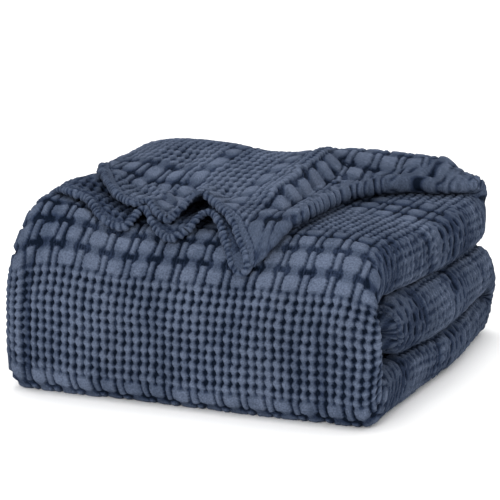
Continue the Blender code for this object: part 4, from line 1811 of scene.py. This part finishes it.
@dataclass(frozen=True)
class Hems:
    """The rolled edges of the cloth: a small round profile with knobs, carried along them."""

    folds: Folds
    radius_mm: float = 3.6
    inset_mm: float = 0.8
    sides: int = 14
    samples: int = 1200
    aside: float = 1e-3
    # The stitches: a knob's height and pitch, how far they are early or late (angle and
    # length of two waves; angle, size round the roll and length of lumps).
    knob_mm: float = 1.0
    knob_pitch_mm: float = 5.6
    late_waves: Rows = ((0.9, 9.0), (0.6, 3.7))
    late_lumps: Triple = (1.6, 2.0, 6.1)
    # Lumps on them: size round the roll and along it; the shares of knobs and of lumps.
    lump: Pair = (3.0, 2.7)
    shares: Pair = (0.7, 1.1)
    # The roll thickens and thins (share, length), and closes over a length at its ends.
    swell: Pair = (0.10, 12.0)
    end_mm: float = 1.5
    least_end: float = 0.02
    # Shade: its middle, the share of the knobs, of the lumps, and its limits.  It is painted
    # shade: lighter on the knobs and lumps, darker in the hollows between them.
    shade: Triple = (0.40, 0.32, 0.32)
    shade_limits: Pair = (0.03, 0.78)

    def edge(self, section: Pair, path: Pair, step_mm: float) -> tuple[Grid, Grid, Grid]:
        """Points along an edge, with the cloth's normal and the way in from the edge.

        The way in is the direction to a second line just inside the edge, less its part along
        the edge; the normal is the edge's direction crossed with it.

        Args:
            section: first and last section position of the edge.
            path: first and last path position of the edge.
            step_mm: the spacing along it.

        Returns:
            The points, the normals and the inward directions.
        """
        share = np.linspace(0.0, 1.0, self.samples)
        if section[0] == section[1]:
            inner = section[0] + math.copysign(self.aside, 0.5 - section[0])
            pair = self.folds.place(np.array([section[0], inner]), between(path, share))
            points, inside = pair[:, 0], pair[:, 1]
        else:
            inner = path[0] + math.copysign(self.aside, 0.5 - path[0])
            pair = self.folds.place(between(section, share), np.array([path[0], inner]))
            points, inside = pair[0], pair[1]
        places = spaced(share, points, step_mm * MM)
        points = np.stack([np.interp(places, share, points[:, k]) for k in range(3)], -1)
        inside = np.stack([np.interp(places, share, inside[:, k]) for k in range(3)], -1)
        tangent = np.gradient(points, axis=0)
        tangent /= np.linalg.norm(tangent, axis=1, keepdims=True)
        inward = inside - points
        inward -= tangent * (inward * tangent).sum(axis=1, keepdims=True)
        inward /= np.maximum(np.linalg.norm(inward, axis=1, keepdims=True), SMALL)
        return points, np.cross(tangent, inward), inward

    def stitches(self, length: Grid, angle: Grid) -> Grids:
        """Knobs and lumps of the stitches, from the distance along the roll and the angle.

        A knob is the hump of a sine's absolute value, once a pitch and turning with the angle
        like the lay of a rope, and it comes early or late by waves and lumps.

        Args:
            length: distance along, in millimetres, as a column.
            angle: angle round, as a row.

        Returns:
            The knobs and the lumps, each from -1 to 1.
        """
        phase = TURN * length / self.knob_pitch_mm
        for late, reach in self.late_waves:
            phase = phase + late * np.sin(length / reach)
        wide = length + 0.0 * angle
        around, size = self.lump
        lumps = grain(wide, around * np.sin(angle), size, Draw.HEM_LUMPS)
        late, around, size = self.late_lumps
        phase = phase + late * grain(wide, around * np.cos(angle), size, Draw.HEM_PHASE)
        return 2.0 * np.abs(np.sin(0.5 * (phase + angle))) - 1.0, lumps

    def build(
        self, name: str, section: Pair, path: Pair, step_mm: float, cotton: bpy.types.Material
    ) -> bpy.types.Object:
        """Carry the round profile along an edge, its radius swelling once a stitch.

        Args:
            name: the piece's name.
            section: first and last section position of the edge.
            path: first and last path position of the edge.
            step_mm: the spacing along it.
            cotton: its material.

        Returns:
            The piece, closed at both ends.
        """
        points, normal, inward = self.edge(section, path, step_mm)
        length = run_length(points)[:, None] / MM
        angle = np.linspace(0.0, TURN, self.sides + 1)[None, :]
        knobs, lumps = self.stitches(length, angle)
        knob_share, lump_share = self.shares
        radius = self.radius_mm + self.knob_mm * (knob_share * knobs + lump_share * lumps)
        share, reach = self.swell
        radius = radius * (1.0 + share * np.sin(length / reach))
        ends = np.minimum(length, length[-1] - length)
        radius = radius * np.clip(ends / self.end_mm, self.least_end, 1.0)
        out = normal[:, None, :] * np.cos(angle)[..., None]
        out = out + inward[:, None, :] * np.sin(angle)[..., None]
        centre = points + inward * self.inset_mm * MM
        grid = centre[:, None, :] + out * radius[..., None] * MM
        # Painted shade: lighter where the roll swells, darker in the hollows.
        middle, knob_share, lump_share = self.shade
        shade = np.clip(middle + knob_share * knobs + lump_share * lumps, *self.shade_limits)
        cloth = on_cloth(grid.shape[:2], angle * self.radius_mm, length)
        outward = np.cross(grid[1] - grid[0], np.roll(grid[0], -1, axis=0) - grid[0])
        flipped = bool((outward[:-1] * out[0, :-1]).sum() < 0)
        return Surface(grid, out, cloth, shade).piece(name, cotton, flipped)


@dataclass(frozen=True)
class EndRolls:
    """The front end of the middle run, where the upper and the lower layers are rolled in.

    Each roll is a half ellipse from one layer down to another, standing forward of the end.
    It tapers to a rounded tip inside the right fold, whose own end a cap closes.
    """

    folds: Folds
    bulge_mm: float = 20.0
    half_depth: float = 0.25
    tip: Pair = (0.93, 0.07)
    short_of: float = 1e-4
    columns: int = 300
    rows: int = 24
    # The strip's width, and the distance round a roll for each radian.
    strip_mm: float = 400.0
    round_mm: float = 9.0
    # Ripples: height, size of their lumps, length of their wave and how it bends round.
    ripple_mm: float = 1.1
    ripple: Triple = (7.0, 2.1, 3.0)
    # The cap: height, distance round and in, and its pleats' pace, bend and lump size.
    cap_mm: float = 11.0
    cap_columns: int = 91
    cap_rows: int = 20
    cap_size: Pair = (80.0, 25.0)
    pleat: Triple = (0.9, 2.0, 7.0)
    # Shade: its middle, the share of the ripples and of the pleats.  It is painted shade: dark
    # in the opening at the middle run's end, lighter where ripples and pleats stand forward.
    shade: Triple = (0.35, 0.2, 0.25)

    def build(self, name: str, depth: float, cotton: bpy.types.Material) -> bpy.types.Object:
        """Build one roll.

        Args:
            name: the piece's name.
            depth: the depth in the strip of the roll's middle.
            cotton: its material.

        Returns:
            The piece.
        """
        start, reach = self.tip
        across = np.linspace(0.0, start + reach - self.short_of, self.columns)[None, :]
        turn = np.linspace(0.0, math.pi, self.rows)[:, None]
        past = np.clip((across - start) / reach, 0.0, 1.0)
        taper = np.sqrt(1.0 - past**2)
        layer = depth + self.half_depth * taper * np.cos(turn)
        across = np.broadcast_to(across, layer.shape)
        y, z = self.folds.middle_run(Spot(across, layer, np.zeros_like(layer)))
        length = across * self.strip_mm
        size, wave, bend = self.ripple
        ripple = grain(length, turn * self.round_mm, size, Draw.SLIT)
        ripple = ripple + np.sin(length / wave + bend * np.cos(turn))
        bulge = (self.bulge_mm + self.ripple_mm * ripple) * taper * np.sin(turn) * MM
        grid = self.folds.settle(np.stack([self.folds.to_x(across, y), y - bulge, z], -1))
        cloth = on_cloth(layer.shape, length, turn * self.round_mm)
        # Painted shade: lighter where a ripple stands forward.
        return self.forward(name, grid, cloth, self.shade[0] + self.shade[1] * ripple, cotton)

    def cap(self, name: str, cotton: bpy.types.Material) -> bpy.types.Object:
        """Close the end of the right fold with a low dome, gathered in towards its middle.

        From the rim to the middle the dome stands forward by cap_mm * sqrt(1 - r^2), where
        r is 1 on the rim and 0 at the middle.

        Args:
            name: the piece's name.
            cotton: its material.

        Returns:
            The piece.
        """
        section = np.linspace(1.0, 2.0, self.cap_columns)
        reach = np.sin(np.linspace(0.0, math.pi / 2, self.cap_rows))[::-1, None]
        rim = self.folds.place(section, np.array([0.0]))[0][None, :, :]
        middle = (rim[:, :1] + rim[:, -1:]) / 2
        grid = middle + (rim - middle) * reach[..., None]
        turn = (section * self.cap_size[0])[None, :]
        pace, bend, size = self.pleat
        pleats = np.sin(turn * pace + bend * grain(turn, 0.0 * turn, size, Draw.PLEATS)) * reach
        grid[..., 1] -= (self.cap_mm * np.sqrt(1.0 - reach**2) + self.ripple_mm * pleats) * MM
        cloth = on_cloth(grid.shape[:2], turn, reach * self.cap_size[1])
        # Painted shade: lighter where a pleat stands forward.
        return self.forward(name, grid, cloth, self.shade[0] + self.shade[2] * pleats, cotton)

    @staticmethod
    def forward(
        name: str,
        grid: Grid,
        cloth: Grid,
        shade: Grid,
        cotton: bpy.types.Material,
    ) -> bpy.types.Object:
        """Make a surface that faces the front.

        Args:
            name: the piece's name.
            grid: its points.
            cloth: their places on the cloth, in metres.
            shade: their shade.
            cotton: its material.

        Returns:
            The piece.
        """
        normals = surface_normals(grid)
        flipped = bool(normals[..., 1].mean() > 0)
        if flipped:
            normals = -normals
        return Surface(grid, normals, cloth, shade).piece(name, cotton, flipped)


# The cloth's skins: name, section, path and spacing in millimetres.  Fine skins show the
# weave; plain coarse ones close up what lies between the layers.
PATCHES = (
    Patch("front_left_skin", (2.5, 3.0), (3.0, 6.35), 1.05),
    Patch("front_right_skin", (2.0, 2.5), (3.0, 6.35), 1.05),
    Patch("top_right_skin", (2.0, 2.36), (6.35, 7.0), 1.6),
    Patch("top_hidden_skin", (2.36, 3.0), (6.35, 7.0), 6.0, Detail.PLAIN),
    Patch("middle_lobe_skin", (1.0, 2.0), (0.0, 1.0), 1.35),
    Patch("back_lobe_skin", (1.0, 2.0), (1.0, 2.0), 1.8),
    Patch("bottom_lobe_skin", (1.0, 2.0), (2.0, 3.0), 1.35),
    Patch("front_edge_skin", (1.0, 2.0), (3.0, 6.0), 1.2),
    Patch("top_lobe_skin", (1.0, 2.0), (6.0, 7.0), 1.3),
    Patch("rear_lobe_skin", (1.0, 2.0), (7.0, 8.0), 1.8),
    Patch("flap_edge_skin", (1.0, 2.0), (8.0, 9.0), 1.4, hemmed=True),
    Patch("flap_left_skin", (0.0, 0.5), (8.0, 9.0), 1.25, hemmed=True),
    Patch("flap_right_skin", (0.5, 1.0), (8.0, 9.0), 1.25, hemmed=True),
    Patch("rear_turn_skin", (0.0, 1.0), (7.0, 8.0), 2.0),
    Patch("back_turn_skin", (2.0, 3.0), (1.0, 2.0), 2.0),
    Patch("under_skin", (2.0, 3.0), (2.0, 3.0), 3.0),
    Patch("middle_under_skin", (2.0, 2.2), (0.0, 1.0), 2.4),
    Patch("middle_hidden_skin", (2.2, 3.0), (0.0, 1.0), 7.0, Detail.PLAIN),
    Patch("middle_upper_skin", (0.75, 1.0), (0.0, 1.0), 2.4),
    Patch("bottom_upper_skin", (0.8, 1.0), (2.0, 3.0), 2.4),
    Patch("top_lower_skin", (0.8, 1.0), (5.5, 7.0), 2.4),
    Patch("inner_back_skin", (0.0, 0.75), (0.0, 2.0), 7.0, Detail.PLAIN),
    Patch("inner_bottom_skin", (0.0, 0.8), (2.0, 5.5), 7.0, Detail.PLAIN),
    Patch("inner_top_skin", (0.0, 0.8), (5.5, 7.0), 7.0, Detail.PLAIN),
    Patch("left_fold_back_skin", (3.0, 4.0), (0.0, 2.0), 2.2),
    Patch("left_fold_front_skin", (3.0, 4.0), (2.0, 8.2), 2.2),
    Patch("core_back_skin", (4.0, 7.0), (0.0, 4.0), 7.0, Detail.PLAIN),
    Patch("core_front_skin", (4.0, 7.0), (4.0, 8.2), 7.0, Detail.PLAIN),
    Patch("flap_lower_skin", (2.0, 3.0), (8.0, 9.0), 5.0, Detail.PLAIN),
    Patch("flap_lower_lining", (2.0, 3.0), (8.4, 9.0), 1.5, Detail.WAFFLE, Face.INNER, True),
    Patch("flap_fold_lining", (1.0, 2.0), (8.2, 9.0), 2.5, Detail.PLAIN, Face.INNER),
    Patch("flap_upper_lining", (0.0, 1.0), (8.2, 9.0), 3.0, Detail.PLAIN, Face.INNER),
    Patch("flap_back_lining", (2.0, 3.0), (8.2, 8.4), 5.0, Detail.PLAIN, Face.INNER),
    Patch("lining_back", (0.0, 7.0), (0.0, 3.0), 6.0, Detail.PLAIN, Face.INNER),
    Patch("lining_front", (0.0, 7.0), (3.0, 8.2), 6.0, Detail.PLAIN, Face.INNER),
)

EDGES = (
    # (name, section, path, spacing in millimetres)
    ("flap_hem_roll", (0.0, 3.0), (9.0, 9.0), 0.9),
    ("left_hem_roll", (0.0, 0.0), (0.0, 8.0), 2.4),
    ("flap_side_roll", (0.0, 0.0), (8.0, 9.0), 0.9),
    ("flap_left_roll", (3.0, 3.0), (8.2, 9.0), 1.6),
    ("middle_end_edge", (0.0, 3.0), (0.0, 0.0), 2.0),
    ("inner_hem_roll", (7.0, 7.0), (0.0, 8.2), 3.0),
    ("inner_end_roll", (3.0, 7.0), (8.2, 8.2), 3.0),
)

END_ROLLS = (
    # (name, depth in the strip of the roll's middle)
    ("middle_end_upper", 0.74),
    ("middle_end_lower", 0.26),
)


@dataclass(frozen=True)
class Lamp:
    """A square soft light: its name, place, power in watts and side in metres."""

    name: str
    place: Triple
    watts: float
    side: float


@dataclass(frozen=True)
class Studio:
    """A plain pale floor, soft light from the front, from above and all round, and the camera."""

    azimuth: float = 20.0
    elevation: float = 15.0
    distance: float = 2.3
    lens: float = 158.4
    sensor: float = 36.0
    nearest: float = 0.1
    target: Triple = (-0.0124, -0.0034, 0.1165)
    floor_half: float = 15.0
    world_strength: float = 1.25
    lamps: tuple[Lamp, ...] = (
        Lamp("key light", (0.0, -2.4, 1.2), 28.0, 0.8),
        Lamp("fill light", (-0.4, 0.6, 2.6), 19.0, 1.2),
    )

    def floor(self) -> bpy.types.Object:
        """The floor: a square of plain pale board.

        Returns:
            The floor.
        """
        half = self.floor_half
        mesh = bpy.data.meshes.new("floor")
        corners = [(-half, -half, 0.0), (half, -half, 0.0), (half, half, 0.0), (-half, half, 0.0)]
        mesh.from_pydata(corners, [], [(0, 1, 2, 3)])
        mesh.materials.append(PaintedBoard().material())
        floor = bpy.data.objects.new("floor", mesh)
        bpy.context.scene.collection.objects.link(floor)
        return floor

    def world(self) -> None:
        """Fill the room with even white light from all round."""
        world = bpy.data.worlds.new("white room")
        world.use_nodes = True
        sky = world.node_tree.nodes["Background"]
        sky.inputs["Color"].default_value = (1.0, 1.0, 1.0, 1.0)
        sky.inputs["Strength"].default_value = self.world_strength
        bpy.context.scene.world = world

    def light(self, lamp: Lamp) -> None:
        """Set up a lamp, aimed at the blanket.

        Args:
            lamp: its place, power and size.
        """
        light = bpy.data.lights.new(lamp.name, "AREA")
        light.energy = lamp.watts
        light.size = lamp.side
        stand = bpy.data.objects.new(lamp.name, light)
        stand.location = Vector(lamp.place)
        aim = Vector(self.target) - stand.location
        stand.rotation_euler = aim.to_track_quat("-Z", "Y").to_euler()
        bpy.context.scene.collection.objects.link(stand)

    def camera(self) -> None:
        """Set up the camera, at the photo's angle."""
        turn, rise = math.radians(self.azimuth), math.radians(self.elevation)
        back = Vector(
            (math.sin(turn) * math.cos(rise), -math.cos(turn) * math.cos(rise), math.sin(rise))
        )
        lens = bpy.data.cameras.new("camera")
        lens.lens = self.lens
        lens.sensor_width = self.sensor
        lens.clip_start = self.nearest
        camera = bpy.data.objects.new("camera", lens)
        camera.location = Vector(self.target) + back * self.distance
        camera.rotation_euler = (-back).to_track_quat("-Z", "Y").to_euler()
        bpy.context.scene.collection.objects.link(camera)
        bpy.context.scene.camera = camera

    def build(self) -> None:
        """Set up the floor, the light and the camera, with colours shown as they are."""
        self.floor()
        self.world()
        for lamp in self.lamps:
            self.light(lamp)
        self.camera()
        bpy.context.scene.view_settings.view_transform = "Standard"


def main() -> None:
    """Build the blanket's skins and hems, then the studio."""
    logging.basicConfig(level=logging.INFO, format="%(message)s")
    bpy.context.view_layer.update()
    cotton = WovenCotton().material()
    folds = Folds()
    skin = Skin(folds, Waffle())
    for patch in PATCHES:
        skin.build(patch, cotton)
    hems = Hems(folds)
    for name, section, path, step_mm in EDGES:
        hems.build(name, section, path, step_mm, cotton)
    rolls = EndRolls(folds)
    for name, depth in END_ROLLS:
        rolls.build(name, depth, cotton)
    rolls.cap("middle_end_cap", cotton)
    Studio().build()


if __name__ == "__main__":
    main()
